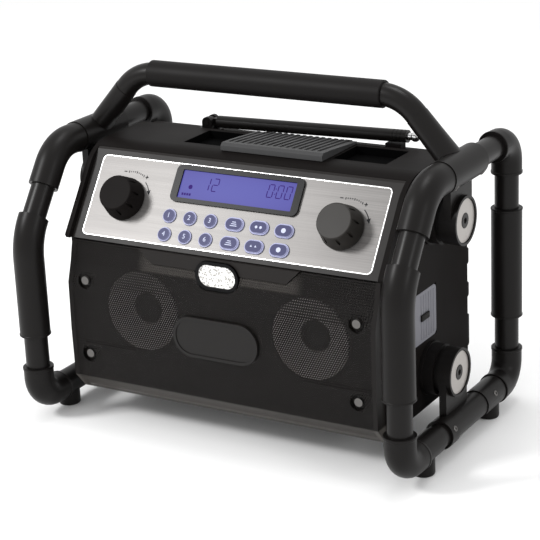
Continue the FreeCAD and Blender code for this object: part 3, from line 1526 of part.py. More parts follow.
keep("antenna_base", cut("antenna_base", join("antenna_base_solid", fork_cheeks), [
    cylinder("antenna_pin_hole", S("antenna_pin") + 2 * S("tube_fit"), S("antenna_fork") + 4,
             pivot - Y_AXIS * (float(fork_half) + 2), Y_AXIS)]))

rod_start = pivot + rod_way * 9.5
rod = cylinder("rod", S("antenna_rod"), S("antenna_length"), rod_start, rod_way)
rod_rings = []
for i in range(3):
    at = rod_start + rod_way * (SIZES["antenna_length"] - 14 + i * 4)
    ring = cylinder("rod_ring_%d" % i, S("antenna_rod") + 2, S("groove_width"), at, rod_way)
    core = cylinder("rod_core_%d" % i, S("antenna_rod") - 2 * S("groove_depth"),
                    S("groove_width") + 2, at - rod_way, rod_way)
    rod_rings.append(cut("rod_groove_%d" % i, ring, [core]))
rod_knuckle = cylinder("rod_knuckle", size_of(9), S("antenna_tongue"),
                       pivot - Y_AXIS * float(tongue_half), Y_AXIS)
rod_tongue = part("Part::Box", "rod_tongue")
bind(rod_tongue, "Length", size_of(12))
bind(rod_tongue, "Width", S("antenna_tongue"))
bind(rod_tongue, "Height", size_of(7))
rod_tongue.Placement = Placement(
    pivot - Y_AXIS * float(tongue_half) + Vector(0, 0, -3.5), Rotation(Y_AXIS, -SIZES["antenna_rise"]))
rod_pin = cylinder("rod_pin", S("antenna_pin"), S("antenna_fork") + 1.6,
                   pivot - Y_AXIS * (float(fork_half) + 0.8), Y_AXIS)
mast_from = rod_start + rod_way * (SIZES["antenna_length"] - SIZES["mast_length"])
mast_bore = cylinder("mast_bore", S("antenna_bore"), S("mast_length") + 10, mast_from, rod_way)
keep("antenna_sleeve", cut("antenna_sleeve", join("antenna_sleeve_solid", [
    rod, rod_knuckle, rod_tongue, rod_pin]), rod_rings + [mast_bore]))
rod_end = rod_start + rod_way * SIZES["antenna_length"]
mast = cylinder("mast", S("antenna_bore") - 2 * S("tube_fit"), S("mast_length") + 2,
                mast_from + rod_way, rod_way)
neck = cylinder("mast_neck", S("mast_neck"), size_of(3.5), rod_end + rod_way * 0.4, rod_way)
ball = part("Part::Sphere", "mast_ball")
bind(ball, "Radius", S("mast_ball") / 2)
ball.Placement = Placement(rod_end + rod_way * 7.2, LEVEL)
keep("antenna_mast", join("antenna_mast", [mast, neck, ball]))

# Write each sub-part once everything is sound
doc.recompute()
for thing in doc.Objects:
    if "Invalid" in thing.State or "Error" in thing.State:
        raise RuntimeError("%s: %s" % (thing.Name, thing.State))
os.makedirs("parts", exist_ok=True)
for thing in finished:
    shape = thing.Shape
    if shape.isNull() or not shape.isValid() or not shape.Solids:
        raise RuntimeError("%s has no sound solid" % thing.Label)
    shape.exportStep("parts/%s.step" % thing.Label)
    print(thing.Label, len(shape.Solids), round(shape.Volume), sep=" ")
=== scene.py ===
import math

import bmesh
import bpy
from mathutils import Matrix, Vector


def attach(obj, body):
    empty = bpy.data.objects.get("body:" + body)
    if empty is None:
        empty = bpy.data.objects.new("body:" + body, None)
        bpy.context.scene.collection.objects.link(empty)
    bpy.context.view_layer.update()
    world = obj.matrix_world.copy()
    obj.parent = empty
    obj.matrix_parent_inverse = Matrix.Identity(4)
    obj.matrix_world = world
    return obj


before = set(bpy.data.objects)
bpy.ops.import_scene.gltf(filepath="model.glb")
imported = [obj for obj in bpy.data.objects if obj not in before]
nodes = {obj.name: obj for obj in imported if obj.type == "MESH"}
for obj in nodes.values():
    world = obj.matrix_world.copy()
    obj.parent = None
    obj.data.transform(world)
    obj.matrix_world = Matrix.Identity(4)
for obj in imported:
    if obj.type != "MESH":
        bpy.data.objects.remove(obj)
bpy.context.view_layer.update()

MM = 0.001

# Frame of the tilted control panel: across, up the slope, outwards
PANEL = {"tilt": 54.8, "depth": -36.9, "height": 247.5}
panelTilt = math.radians(PANEL["tilt"])
panelTop = Vector((0, PANEL["depth"], PANEL["height"])) * MM
acrossPanel = Vector((1, 0, 0))
upPanel = Vector((0, math.cos(panelTilt), math.sin(panelTilt)))
outPanel = Vector((0, -math.sin(panelTilt), math.cos(panelTilt)))


def panelPoint(x, down, lift=0.0):
    return panelTop + acrossPanel * (x * MM) - upPanel * (down * MM) + outPanel * (lift * MM)


def axesMatrix(origin, across, up, out):
    turn = Matrix((across, up, out)).transposed().to_4x4()
    return Matrix.Translation(origin) @ turn


def panelMatrix(x, down, lift=0.0):
    return axesMatrix(panelPoint(x, down, lift), acrossPanel, upPanel, outPanel)


def facingMatrix(point, out, up=Vector((0, 0, 1))):
    # Local z runs outwards from a face, local y as near as can be to up.
    out = Vector(out).normalized()
    across = Vector(up).cross(out).normalized()
    return axesMatrix(Vector(point) * MM, across, out.cross(across), out)


# Shader expressions: a socket that takes part in sums and products
class Field:
    def __init__(self, tree, socket):
        self.tree = tree
        self.socket = socket

    def math(self, operation, *others):
        node = self.tree.nodes.new("ShaderNodeMath")
        node.operation = operation
        for slot, value in zip(node.inputs, (self,) + others):
            if isinstance(value, Field):
                self.tree.links.new(value.socket, slot)
            else:
                slot.default_value = value
        return Field(self.tree, node.outputs[0])

    def __add__(self, other):
        return self.math("ADD", other)

    def __sub__(self, other):
        return self.math("SUBTRACT", other)

    def __mul__(self, other):
        return self.math("MULTIPLY", other)

    def __truediv__(self, other):
        return self.math("DIVIDE", other)

    def __rsub__(self, other):
        return self * -1 + other

    __radd__ = __add__
    __rmul__ = __mul__

    def above(self, edge, soft):
        # Rises from 0 to 1 across an edge.
        return ((self - (edge - soft)) / (2 * soft)).math("MAXIMUM", 0.0).math("MINIMUM", 1.0)


class Surface:
    # A principled material with fields made from the piece's own coordinates.
    def __init__(self, name, color, roughness, metallic=0.0, coat=0.0, gloss=0.2):
        self.material = bpy.data.materials.new(name)
        self.material.use_nodes = True
        self.tree = self.material.node_tree
        self.shader = self.tree.nodes["Principled BSDF"]
        self.set("Base Color", (*color, 1.0))
        self.set("Roughness", roughness)
        self.set("Metallic", metallic)
        self.set("Coat Weight", coat)
        self.set("Coat Roughness", 0.12)
        self.set("Specular IOR Level", gloss)
        self.place = None

    def set(self, name, value):
        if isinstance(value, Field):
            self.tree.links.new(value.socket, self.shader.inputs[name])
        else:
            self.shader.inputs[name].default_value = value

    def coordinates(self):
        if self.place is None:
            self.place = self.tree.nodes.new("ShaderNodeTexCoord").outputs["Object"]
        return self.place

    def axis(self, which):
        split = self.tree.nodes.new("ShaderNodeSeparateXYZ")
        self.tree.links.new(self.coordinates(), split.inputs[0])
        return Field(self.tree, split.outputs[which])

    def stretched(self, scale):
        mapping = self.tree.nodes.new("ShaderNodeMapping")
        mapping.inputs["Scale"].default_value = scale
        self.tree.links.new(self.coordinates(), mapping.inputs["Vector"])
        return mapping.outputs[0]

    def noise(self, scale, detail=2.0, stretch=(1, 1, 1)):
        node = self.tree.nodes.new("ShaderNodeTexNoise")
        node.inputs["Scale"].default_value = scale
        node.inputs["Detail"].default_value = detail
        self.tree.links.new(self.stretched(stretch), node.inputs["Vector"])
        return Field(self.tree, node.outputs["Fac"])

    def cells(self, scale):
        node = self.tree.nodes.new("ShaderNodeTexVoronoi")
        node.inputs["Scale"].default_value = scale
        self.tree.links.new(self.coordinates(), node.inputs["Vector"])
        return Field(self.tree, node.outputs["Distance"])

    def mix(self, low, high, factor):
        # Colour between two colours or colour fields.
        node = self.tree.nodes.new("ShaderNodeMix")
        node.data_type = "RGBA"
        for slot, value in ((node.inputs[6], low), (node.inputs[7], high)):
            if isinstance(value, Field):
                self.tree.links.new(value.socket, slot)
            else:
                slot.default_value = (*value, 1.0)
        self.tree.links.new(factor.socket, node.inputs[0])
        return Field(self.tree, node.outputs[2])

    def bump(self, height, distance, strength=1.0):
        node = self.tree.nodes.new("ShaderNodeBump")
        node.inputs["Strength"].default_value = strength
        node.inputs["Distance"].default_value = distance
        self.tree.links.new(height.socket, node.inputs["Height"])
        self.set("Normal", Field(self.tree, node.outputs[0]))


# Fine grain of moulded surfaces, and slow changes of their gloss
GRAIN = {"fleck": 1400.0, "fleckDetail": 3.0, "strength": 0.5, "patch": 22.0,
         "patchDetail": 2.0, "spread": 0.12}


def plain(name, color, roughness, metallic=0.0, grain=0.0, gloss=0.2):
    surface = Surface(name, color, roughness, metallic, gloss=gloss)
    if grain:
        fleck = surface.noise(GRAIN["fleck"], GRAIN["fleckDetail"])
        surface.bump(fleck, grain * MM, GRAIN["strength"])
        patch = surface.noise(GRAIN["patch"], GRAIN["patchDetail"])
        surface.set("Roughness", patch * GRAIN["spread"] + (roughness - GRAIN["spread"] / 2))
    return surface


# Colours and gloss of every kind of surface
LOOKS = {
    "tube": dict(color=(0.0062, 0.0054, 0.0051), roughness=0.33, gloss=0.17, grain=0.02),
    "fitting": dict(color=(0.0060, 0.0052, 0.0049), roughness=0.38, gloss=0.15, grain=0.03),
    "rubber": dict(color=(0.0055, 0.0047, 0.0045), roughness=0.52, gloss=0.12, grain=0.06),
    "case": dict(color=(0.0068, 0.0057, 0.0054), roughness=0.52, gloss=0.04, grain=0.06),
    "bezel": dict(color=(0.0125, 0.0108, 0.0100), roughness=0.40, gloss=0.15, grain=0.03),
    "gloss": dict(color=(0.0022, 0.0022, 0.0026), roughness=0.30, gloss=0.10),
    # Painted shade: near-black colour for the sheets in the recesses of the top
    "recessShade": dict(color=(0.0015, 0.0015, 0.0016), roughness=0.80, gloss=0.02),
    "lid": dict(color=(0.047, 0.047, 0.048), roughness=0.50, gloss=0.20, grain=0.04),
    "cover": dict(color=(0.17, 0.17, 0.19), roughness=0.55, gloss=0.20, grain=0.04),
    "screw": dict(color=(0.13, 0.125, 0.12), roughness=0.36, metallic=0.85),
    "steel": dict(color=(0.36, 0.345, 0.33), roughness=0.38, metallic=0.7),
    "board": dict(color=(0.02, 0.10, 0.04), roughness=0.5),
    "chrome": dict(color=(0.78, 0.78, 0.78), roughness=0.16, metallic=1.0),
    "rod": dict(color=(0.008, 0.007, 0.0065), roughness=0.33, gloss=0.20),
    "badge": dict(color=(0.011, 0.010, 0.0095), roughness=0.36, gloss=0.18),
    "ink": dict(color=(0.010, 0.010, 0.012), roughness=0.6),
    "keyInk": dict(color=(0.50, 0.53, 0.68), roughness=0.5),
    "segment": dict(color=(0.030, 0.012, 0.12), roughness=0.6, gloss=0.05),
    "knobGrey": dict(color=(0.021, 0.019, 0.017), roughness=0.42, gloss=0.18, grain=0.02),
    "brightEdge": dict(color=(0.86, 0.85, 0.84), roughness=0.25, metallic=0.5),
}
surfaces = {name: plain(name + "Surface", **look) for name, look in LOOKS.items()}


def material(name):
    return surfaces[name].material


# Brushed panel plate with fine streaks across; flat is its colour where streaks aren't read
PLATE = {"flat": (0.50, 0.48, 0.47), "dark": (0.060, 0.057, 0.055),
         "bright": (0.235, 0.226, 0.220), "metallic": 0.35, "smoothest": 0.27, "rougher": 0.18,
         "fine": (9.0, 900.0, 900.0), "fineShare": 0.7, "coarse": (5.0, 120.0, 120.0)}


def plateSurface():
    plate = Surface("panelSurface", PLATE["flat"], PLATE["smoothest"] + PLATE["rougher"] / 2,
                    metallic=PLATE["metallic"])
    fine = plate.noise(1.0, 4.0, PLATE["fine"])
    coarse = plate.noise(1.0, 2.0, PLATE["coarse"])
    share = PLATE["fineShare"]
    plate.set("Base Color", plate.mix(PLATE["dark"], PLATE["bright"],
                                      fine * share + coarse * (1 - share)))
    plate.set("Roughness", fine * PLATE["rougher"] + PLATE["smoothest"])
    return plate


# Backlit display: brighter in the middle, darker to the rim
SCREEN = {"color": (0.012, 0.012, 0.05), "rim": (0.060, 0.040, 0.27),
          "middle": (0.100, 0.100, 0.42), "strength": 0.85, "halfWidth": 60.0,
          "height": 231.0, "halfHeight": 13.0, "fadeAcross": 0.22, "fadeUp": 0.25}


def screenSurface():
    screen = Surface("screenSurface", SCREEN["color"], 0.35, gloss=0.08)
    across = screen.axis(0) / (SCREEN["halfWidth"] * MM)
    up = (screen.axis(2) - SCREEN["height"] * MM) / (SCREEN["halfHeight"] * MM)
    glow = 1.0 - across * across * SCREEN["fadeAcross"] - up * up * SCREEN["fadeUp"]
    screen.set("Emission Color", screen.mix(SCREEN["rim"], SCREEN["middle"], glow))
    screen.set("Emission Strength", SCREEN["strength"])
    return screen


# Perforated sheet of the grille, in staggered rows of round holes; its chin and brow are paler
SHEET = {"pitch": 2.3, "radius": 0.76, "edge": 0.12, "plainFrom": 157.0, "plainEdge": 0.3,
         "chinBelow": 44.5, "browAbove": 157.0, "browHalf": 82.0, "browSide": 5.0,
         "paleEdge": 0.8, "browShare": 0.55, "lean": 0.4, "flat": (0.014, 0.0125, 0.0115),
         "dark": (0.0085, 0.0072, 0.0066), "pale": (0.070, 0.064, 0.058)}
ROW_PITCH = math.sqrt(3)
FAR_CELLS = 500.0


def grilleSurface():
    sheet = Surface("grilleSurface", SHEET["flat"], 0.42, gloss=0.15)
    paleEdge = SHEET["paleEdge"] * MM
    chin = 1.0 - sheet.axis(2).above(SHEET["chinBelow"] * MM, paleEdge)
    middle = 1.0 - sheet.axis(0).math("ABSOLUTE").above(SHEET["browHalf"] * MM,
                                                        SHEET["browSide"] * MM)
    brow = sheet.axis(2).above(SHEET["browAbove"] * MM, paleEdge) * middle
    sheet.set("Base Color", sheet.mix(SHEET["dark"], SHEET["pale"],
                                      (chin + brow * SHEET["browShare"]).math("MINIMUM", 1.0)))
    cell = SHEET["pitch"] * MM
    across = (sheet.axis(0) + sheet.axis(1)) / cell
    up = (sheet.axis(2) - sheet.axis(1) * SHEET["lean"]) / (cell * ROW_PITCH)

    def fromHole(shift):
        u = (across + FAR_CELLS + shift).math("FRACT") - 0.5
        v = ((up + FAR_CELLS + shift).math("FRACT") - 0.5) * ROW_PITCH
        return (u * u + v * v).math("SQRT")

    nearest = fromHole(0.0).math("MINIMUM", fromHole(0.5)) * SHEET["pitch"]
    metal = nearest.above(SHEET["radius"], SHEET["edge"])
    border = sheet.axis(0).math("ABSOLUTE").above(SHEET["plainFrom"] * MM,
                                                  SHEET["plainEdge"] * MM)
    sheet.set("Alpha", metal.math("MAXIMUM", border))
    return sheet


# Speaker: pale ring round a dark cone
SPEAKER = {"x": 89.0, "z": 114.0, "cone": 15.0, "edge": 0.6, "flat": (0.05, 0.05, 0.05),
           "dark": (0.020, 0.018, 0.017), "ring": (0.62, 0.59, 0.57)}


def speakerSurface():
    speaker = Surface("speakerSurface", SPEAKER["flat"], 0.6)
    fromX = speaker.axis(0).math("ABSOLUTE") - SPEAKER["x"] * MM
    fromZ = speaker.axis(2) - SPEAKER["z"] * MM
    away = (fromX * fromX + fromZ * fromZ).math("SQRT")
    speaker.set("Base Color", speaker.mix(SPEAKER["dark"], SPEAKER["ring"],
                                          away.above(SPEAKER["cone"] * MM,
                                                     SPEAKER["edge"] * MM)))
    return speaker


# Clear work lamp with a pebbled reflector; the brighter pebble cells glow faintly as painted glints
LAMP = {"flat": (0.74, 0.73, 0.70), "coat": 0.6, "cells": 420.0, "soft": 0.2,
        "dark": (0.30, 0.29, 0.27), "pale": (0.95, 0.94, 0.92), "paleFrom": 0.42,
        "glintless": (0.05, 0.05, 0.05), "glint": (0.9, 0.9, 0.88), "glintFrom": 0.5,
        "strength": 0.35, "relief": 0.8, "reliefStrength": 0.9}


def lampSurface():
    lens = Surface("lensSurface", LAMP["flat"], 0.12, coat=LAMP["coat"])
    pebble = lens.cells(LAMP["cells"])
    lens.set("Base Color", lens.mix(LAMP["dark"], LAMP["pale"],
                                    pebble.above(LAMP["paleFrom"], LAMP["soft"])))
    # Painted glints: the pebble cells past the threshold give off a faint glow that stands in for
    # sparkle on the facets
    lens.set("Emission Color", lens.mix(LAMP["glintless"], LAMP["glint"],
                                        pebble.above(LAMP["glintFrom"], LAMP["soft"])))
    lens.set("Emission Strength", LAMP["strength"])
    lens.bump(pebble, LAMP["relief"] * MM, LAMP["reliefStrength"])
    return lens


# Washers bright, the screw in the middle of each nearly black
WASHERS = {"upper": (7.3, 211.0), "lower": (0.0, 70.5), "hole": 7.0, "edge": 0.2,
           "flat": (0.36, 0.345, 0.33), "dark": (0.012, 0.011, 0.010),
           "bright": (0.40, 0.38, 0.36), "metallic": 0.7}


def washerSurface():
    bolts = Surface("boltSurface", WASHERS["flat"], 0.42, metallic=WASHERS["metallic"])

    def away(y, z):
        offY = bolts.axis(1) - y * MM
        offZ = bolts.axis(2) - z * MM
        return (offY * offY + offZ * offZ).math("SQRT")

    middle = away(*WASHERS["upper"]).math("MINIMUM", away(*WASHERS["lower"]))
    washer = middle.above(WASHERS["hole"] * MM, WASHERS["edge"] * MM)
    bolts.set("Base Color", bolts.mix(WASHERS["dark"], WASHERS["bright"], washer))
    bolts.set("Metallic", washer * WASHERS["metallic"])
    return bolts


surfaces["panel"] = plateSurface()
surfaces["screen"] = screenSurface()
surfaces["grille"] = grilleSurface()
surfaces["speaker"] = speakerSurface()
surfaces["lens"] = lampSurface()
surfaces["bolts"] = washerSurface()

# Round keys with numbers and oval keys with marks, in two rows down the panel
KEYS = {"rows": (51.5, 69.4), "perRow": 3, "roundStart": -62.0, "roundPitch": 22.0,
        "ovalStart": 7.4, "ovalPitch": 25.6, "roundCap": 5.7, "ovalCap": 5.2,
        "ovalReach": 3.2, "top": 2.4, "capEdge": 0.25, "flat": (0.03, 0.035, 0.16),
        "cap": (0.016, 0.017, 0.085), "skirt": (0.36, 0.37, 0.55)}


def keyPlaces():
    # Number of each pair of keys, then the round and the oval key's place on the panel.
    for row, down in enumerate(KEYS["rows"]):
        for i in range(KEYS["perRow"]):
            yield (row * KEYS["perRow"] + i + 1,
                   (KEYS["roundStart"] + KEYS["roundPitch"] * i, down),
                   (KEYS["ovalStart"] + KEYS["ovalPitch"] * i, down))


def keySurface(name, centre, reach, cap):
    # Pale skirt round a dark blue cap; reach is the half length of the straight part.
    key = Surface(name, KEYS["flat"], 0.36, gloss=0.16)
    dx = ((key.axis(0) - centre.x).math("ABSOLUTE") - reach).math("MAXIMUM", 0.0)
    dy = (key.axis(1) - centre.y) * upPanel.y + (key.axis(2) - centre.z) * upPanel.z
    away = (dx * dx + dy * dy).math("SQRT")
    key.set("Base Color", key.mix(KEYS["cap"], KEYS["skirt"],
                                  away.above(cap, KEYS["capEdge"] * MM)))
    return key.material


# Surface of every CAD node, by the start of its name; a later row wins over an earlier one
DRESS = {
    "bottom_rail": "tube", "top_rail": "tube", "front_post": "tube", "rear_posts": "tube",
    "handle_bar": "tube", "handle_grip": "rubber", "front_sleeve": "fitting",
    "rear_sleeves": "fitting", "front_elbow": "fitting", "corner_elbows": "fitting",
    "foot_tees": "fitting", "top_tee": "fitting", "lower_bracket": "fitting",
    "rubber_dampers": "rubber", "mount_bolts": "bolts", "rear_housing": "case",
    "front_housing": "bezel", "grille": "grille", "grille_screws": "screw",
    "control_panel": "panel", "display_bezel": "gloss", "lcd_module": "screen",
    "control_board": "board", "knob_left": "case", "knob_right": "knobGrey",
    "knob_shaft": "steel", "speaker": "speaker", "lamp_bezel": "gloss", "lamp_lens": "lens",
    "badge_plate": "badge", "box_lid": "lid", "port_cover": "cover",
    "socket_panel": "gloss", "battery_door": "case", "rear_pads": "rubber",
    "antenna_base": "fitting", "antenna_sleeve": "rod", "antenna_mast": "chrome",
}


def dress(thing, look):
    for slot in thing.material_slots:
        slot.material = look


for prefix, look in DRESS.items():
    for name, thing in nodes.items():
        if name.startswith(prefix):
            dress(thing, material(look))

for number, roundPlace, ovalPlace in keyPlaces():
    for kind, place, reach in (("round", roundPlace, 0.0),
                               ("oval", ovalPlace, KEYS["ovalReach"])):
        name = "key_%s_%d" % (kind, number)
        dress(nodes[name], keySurface(name + "Surface", panelPoint(*place), reach * MM,
                                      KEYS[kind + "Cap"] * MM))
print("stage: CAD nodes dressed")


# Building of small pieces: each mesh is made in place, its object stays at the origin
def finishPiece(name, build, look, body, smooth=True):
    data = bpy.data.meshes.new(name)
    bmesh.ops.recalc_face_normals(build, faces=build.faces)
    build.to_mesh(data)
    build.free()
    thing = bpy.data.objects.new(name, data)
    bpy.context.scene.collection.objects.link(thing)
    data.materials.append(material(look))
    if smooth:
        data.shade_smooth()
        data.set_sharp_from_angle(angle=math.radians(35))
    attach(thing, body)


def inOrder(items):
    # Each item once, as first met, so that every run makes the same mesh.
    return list(dict.fromkeys(items))


def addBlock(build, place, size, bevel=0.0, centre=(0, 0, 0)):
    # Box of a size in millimetres, its middle shifted by centre in the place's axes.
    made = bmesh.ops.create_cube(build, size=1.0)
    corners = made["verts"]
    scale = Matrix.Diagonal((size[0] * MM, size[1] * MM, size[2] * MM, 1.0))
    shift = Matrix.Translation(Vector(centre) * MM)
    if bevel:
        bmesh.ops.transform(build, matrix=scale, verts=corners)
        edges = inOrder(edge for vert in corners for edge in vert.link_edges)
        bevelled = bmesh.ops.bevel(build, geom=edges, offset=bevel * MM, segments=2,
                                   profile=0.5, affect="EDGES", material=-1)
        corners = inOrder([v for face in bevelled["faces"] for v in face.verts]
                          + [v for v in corners if v.is_valid])
        bmesh.ops.transform(build, matrix=place @ shift, verts=corners)
    else:
        bmesh.ops.transform(build, matrix=place @ shift @ scale, verts=corners)


def addDisc(build, place, across, length, sides, lift=0.0):
    # Round piece standing on the place's face.
    bmesh.ops.create_cone(build, cap_ends=True, segments=sides, radius1=across / 2 * MM,
                          radius2=across / 2 * MM, depth=length * MM,
                          matrix=place @ Matrix.Translation((0, 0, (lift + length / 2) * MM)))


def addTurned(build, place, profile, steps):
    # Profile of (radius, height) points in millimetres spun round the place's axis.
    ring = [build.verts.new(Vector((r * MM, 0, h * MM))) for r, h in profile]
    edges = [build.edges.new(pair) for pair in zip(ring[:-1], ring[1:])]
    bmesh.ops.spin(build, geom=ring + edges, cent=(0, 0, 0), axis=(0, 0, 1),
                   angle=math.tau, steps=steps, use_merge=True)
    whole = dict.fromkeys(ring)
    stack = list(ring)
    while stack:
        for edge in stack.pop().link_edges:
            for vert in edge.verts:
                if vert not in whole:
                    whole[vert] = None
                    stack.append(vert)
    bmesh.ops.remove_doubles(build, verts=list(whole), dist=1e-7)
    bmesh.ops.transform(build, matrix=place, verts=[v for v in whole if v.is_valid])


# Round head with a sunk round drive; shares of its radius and of its height
SCREW = {"drive": 0.44, "floor": 0.35, "crown": 0.8, "shoulder": 0.6, "steps": 24}


def addScrew(build, place, head, height):
    rim = head / 2
    floor = height * SCREW["floor"]
    addTurned(build, place, [
        (0.0, floor), (rim * SCREW["drive"], floor), (rim * SCREW["drive"], height),
        (rim * SCREW["crown"], height), (rim, height * SCREW["shoulder"]), (rim, 0.0),
        (0.0, 0.0)], SCREW["steps"])


def addNumber(build, number, place, height, thick):
    # Plain number as flat figures with a little thickness.
    curve = bpy.data.curves.new("words", "FONT")
    curve.body = str(number)
    curve.size = height * MM
    curve.extrude = thick / 2 * MM
    curve.align_x = "CENTER"
    curve.align_y = "CENTER"
    holder = bpy.data.objects.new("words", curve)
    bpy.context.scene.collection.objects.link(holder)
    flat = bpy.data.meshes.new_from_object(holder)
    flat.transform(place)
    build.from_mesh(flat)
    bpy.data.objects.remove(holder)
    bpy.data.meshes.remove(flat)
    bpy.data.curves.remove(curve)


# Marks on the keys: numbers, and bars, pairs or an eye on the oval ones
MARKS = {"number": 6.4, "numberLift": 0.08, "thick": 0.12, "bar": 5.4, "barTall": 0.7,
         "barStep": 1.8, "barShorter": 1.6, "pairReach": 2.3, "pairSize": 2.6,
         "pairSides": (16, 3), "eye": 4.6, "eyeThick": 0.10, "pupil": 1.2, "pupilThick": 0.16}


def addBars(build, place, row):
    for step in (-1, 0, 1):
        addBlock(build, place, (MARKS["bar"] - MARKS["barShorter"] * step, MARKS["barTall"],
                                MARKS["thick"]),
                 centre=(0, MARKS["barStep"] * step, MARKS["thick"] / 2))


def addPair(build, place, row):
    for step in (-1, 1):
        beside = Matrix.Translation((step * MARKS["pairReach"] * MM, 0, 0))
        addDisc(build, place @ beside, MARKS["pairSize"], MARKS["thick"],
                MARKS["pairSides"][row])


def addEye(build, place, row):
    addDisc(build, place, MARKS["eye"], MARKS["eyeThick"], 24)
    addDisc(build, place, MARKS["pupil"], MARKS["pupilThick"], 12)


for number, roundPlace, ovalPlace in keyPlaces():
    build = bmesh.new()
    addNumber(build, number, panelMatrix(*roundPlace, KEYS["top"] + MARKS["numberLift"]),
              MARKS["number"], MARKS["thick"])
    finishPiece("number%d" % number, build, "keyInk", "key_round_%d" % number,
                False)
    build = bmesh.new()
    row, column = divmod(number - 1, KEYS["perRow"])
    (addBars, addPair, addEye)[column](build, panelMatrix(*ovalPlace, KEYS["top"]), row)
    finishPiece("mark%d" % number, build, "keyInk", "key_oval_%d" % number,
                False)
print("stage: key marks")

# Segments of the display: a clock, a channel number, a spot and four bars
DISPLAY = {"face": 0.8, "stroke": 0.85, "width": 5.4, "height": 12.0, "slant": 0.12,
           "thick": 0.1, "lift": 0.06, "clock": (("0", 34.5), ("0", 44.0), ("0", 52.8)),
           "clockDown": 16.5, "channel": (("1", -32.0), ("2", -23.0)), "channelDown": 17.5,
           "colonX": 39.3, "colonDowns": (14.0, 19.0), "colon": 0.9,
           "spotPlace": (-48.5, 22.0), "spot": 4.2, "spotLift": 0.01,
           "barStart": -55.0, "barPitch": 2.6, "barDown": 29.2, "bars": 4, "bar": (1.8, 2.2)}
LIT = {"0": "abcdef", "1": "bc", "2": "abged"}


def addSegment(build, x, down, wide, tall):
    addBlock(build, panelMatrix(x, down, DISPLAY["face"]), (wide, tall, DISPLAY["thick"]),
             centre=(0, 0, DISPLAY["lift"]))


def addDigit(build, digit, x, down):
    w = DISPLAY["width"]
    h = DISPLAY["height"]
    t = DISPLAY["stroke"]
    bars = {"a": (0, h / 2, w - t, t), "g": (0, 0, w - t, t), "d": (0, -h / 2, w - t, t),
            "f": (-w / 2, h / 4, t, h / 2 - t), "b": (w / 2, h / 4, t, h / 2 - t),
            "e": (-w / 2, -h / 4, t, h / 2 - t), "c": (w / 2, -h / 4, t, h / 2 - t)}
    for name in LIT[digit]:
        across, up, wide, tall = bars[name]
        addSegment(build, x + across + up * DISPLAY["slant"], down - up, wide, tall)


build = bmesh.new()
for digits, down in ((DISPLAY["clock"], DISPLAY["clockDown"]),
                     (DISPLAY["channel"], DISPLAY["channelDown"])):
    for digit, x in digits:
        addDigit(build, digit, x, down)
for down in DISPLAY["colonDowns"]:
    addSegment(build, DISPLAY["colonX"], down, DISPLAY["colon"], DISPLAY["colon"])
addDisc(build, panelMatrix(*DISPLAY["spotPlace"], DISPLAY["face"]), DISPLAY["spot"],
        DISPLAY["thick"], 20, DISPLAY["spotLift"])
for step in range(DISPLAY["bars"]):
    addSegment(build, DISPLAY["barStart"] + DISPLAY["barPitch"] * step, DISPLAY["barDown"],
               *DISPLAY["bar"])
finishPiece("displaySegments", build, "segment", "frame", False)

# Printed marks round both knobs: a scale, minus, plus and a turning arrow; angles in degrees
PRINT = {"x": 114.0, "down": 41.5, "lift": 0.03, "thick": 0.08, "blockLift": 0.05,
         "arc": 24.5, "arcFrom": 50, "arcTo": 26, "arcWidth": 0.9, "arcSteps": 14,
         "head": ((22.4, 27.0), (26.6, 27.0), (24.3, 16.27)),
         "signs": 28.5, "minusAt": 108, "plusAt": 56, "signLong": 3.2, "signWide": 0.9,
         "ticks": 9, "tickRing": 27.5, "tickStart": 100, "tickStep": 4.6, "tickWide": 0.8,
         "tickLong": 2.2, "tickShort": 1.3, "longEvery": 4}


def knobSpot(x, radius, degrees):
    angle = math.radians(degrees)
    return x + radius * math.cos(angle), PRINT["down"] - radius * math.sin(angle)


def addPrinted(build, spot, wide, tall):
    addBlock(build, panelMatrix(*spot), (wide, tall, PRINT["thick"]),
             centre=(0, 0, PRINT["blockLift"]))


def addArc(build, x):
    last = None
    for i in range(PRINT["arcSteps"] + 1):
        sweep = (PRINT["arcTo"] - PRINT["arcFrom"]) * i / PRINT["arcSteps"]
        pair = [build.verts.new(panelPoint(*knobSpot(x, PRINT["arc"] + side * PRINT["arcWidth"] / 2,
                                                     PRINT["arcFrom"] + sweep), PRINT["lift"]))
                for side in (-1, 1)]
        if last:
            build.faces.new((last[0], last[1], pair[1], pair[0]))
        last = pair


build = bmesh.new()
for side in (-1, 1):
    x = PRINT["x"] * side
    addArc(build, x)
    build.faces.new([build.verts.new(panelPoint(*knobSpot(x, *corner), PRINT["lift"]))
                     for corner in PRINT["head"]])
    minus = knobSpot(x, PRINT["signs"], PRINT["minusAt"])
    plus = knobSpot(x, PRINT["signs"], PRINT["plusAt"])
    addPrinted(build, minus, PRINT["signLong"], PRINT["signWide"])
    addPrinted(build, plus, PRINT["signLong"], PRINT["signWide"])
    addPrinted(build, plus, PRINT["signWide"], PRINT["signLong"])
    for i in range(PRINT["ticks"]):
        spot = knobSpot(x, PRINT["tickRing"], PRINT["tickStart"] - PRINT["tickStep"] * i)
        tall = PRINT["tickShort"] if i % PRINT["longEvery"] else PRINT["tickLong"]
        addPrinted(build, spot, PRINT["tickWide"], tall)
finishPiece("panelMarks", build, "ink", "frame", False)

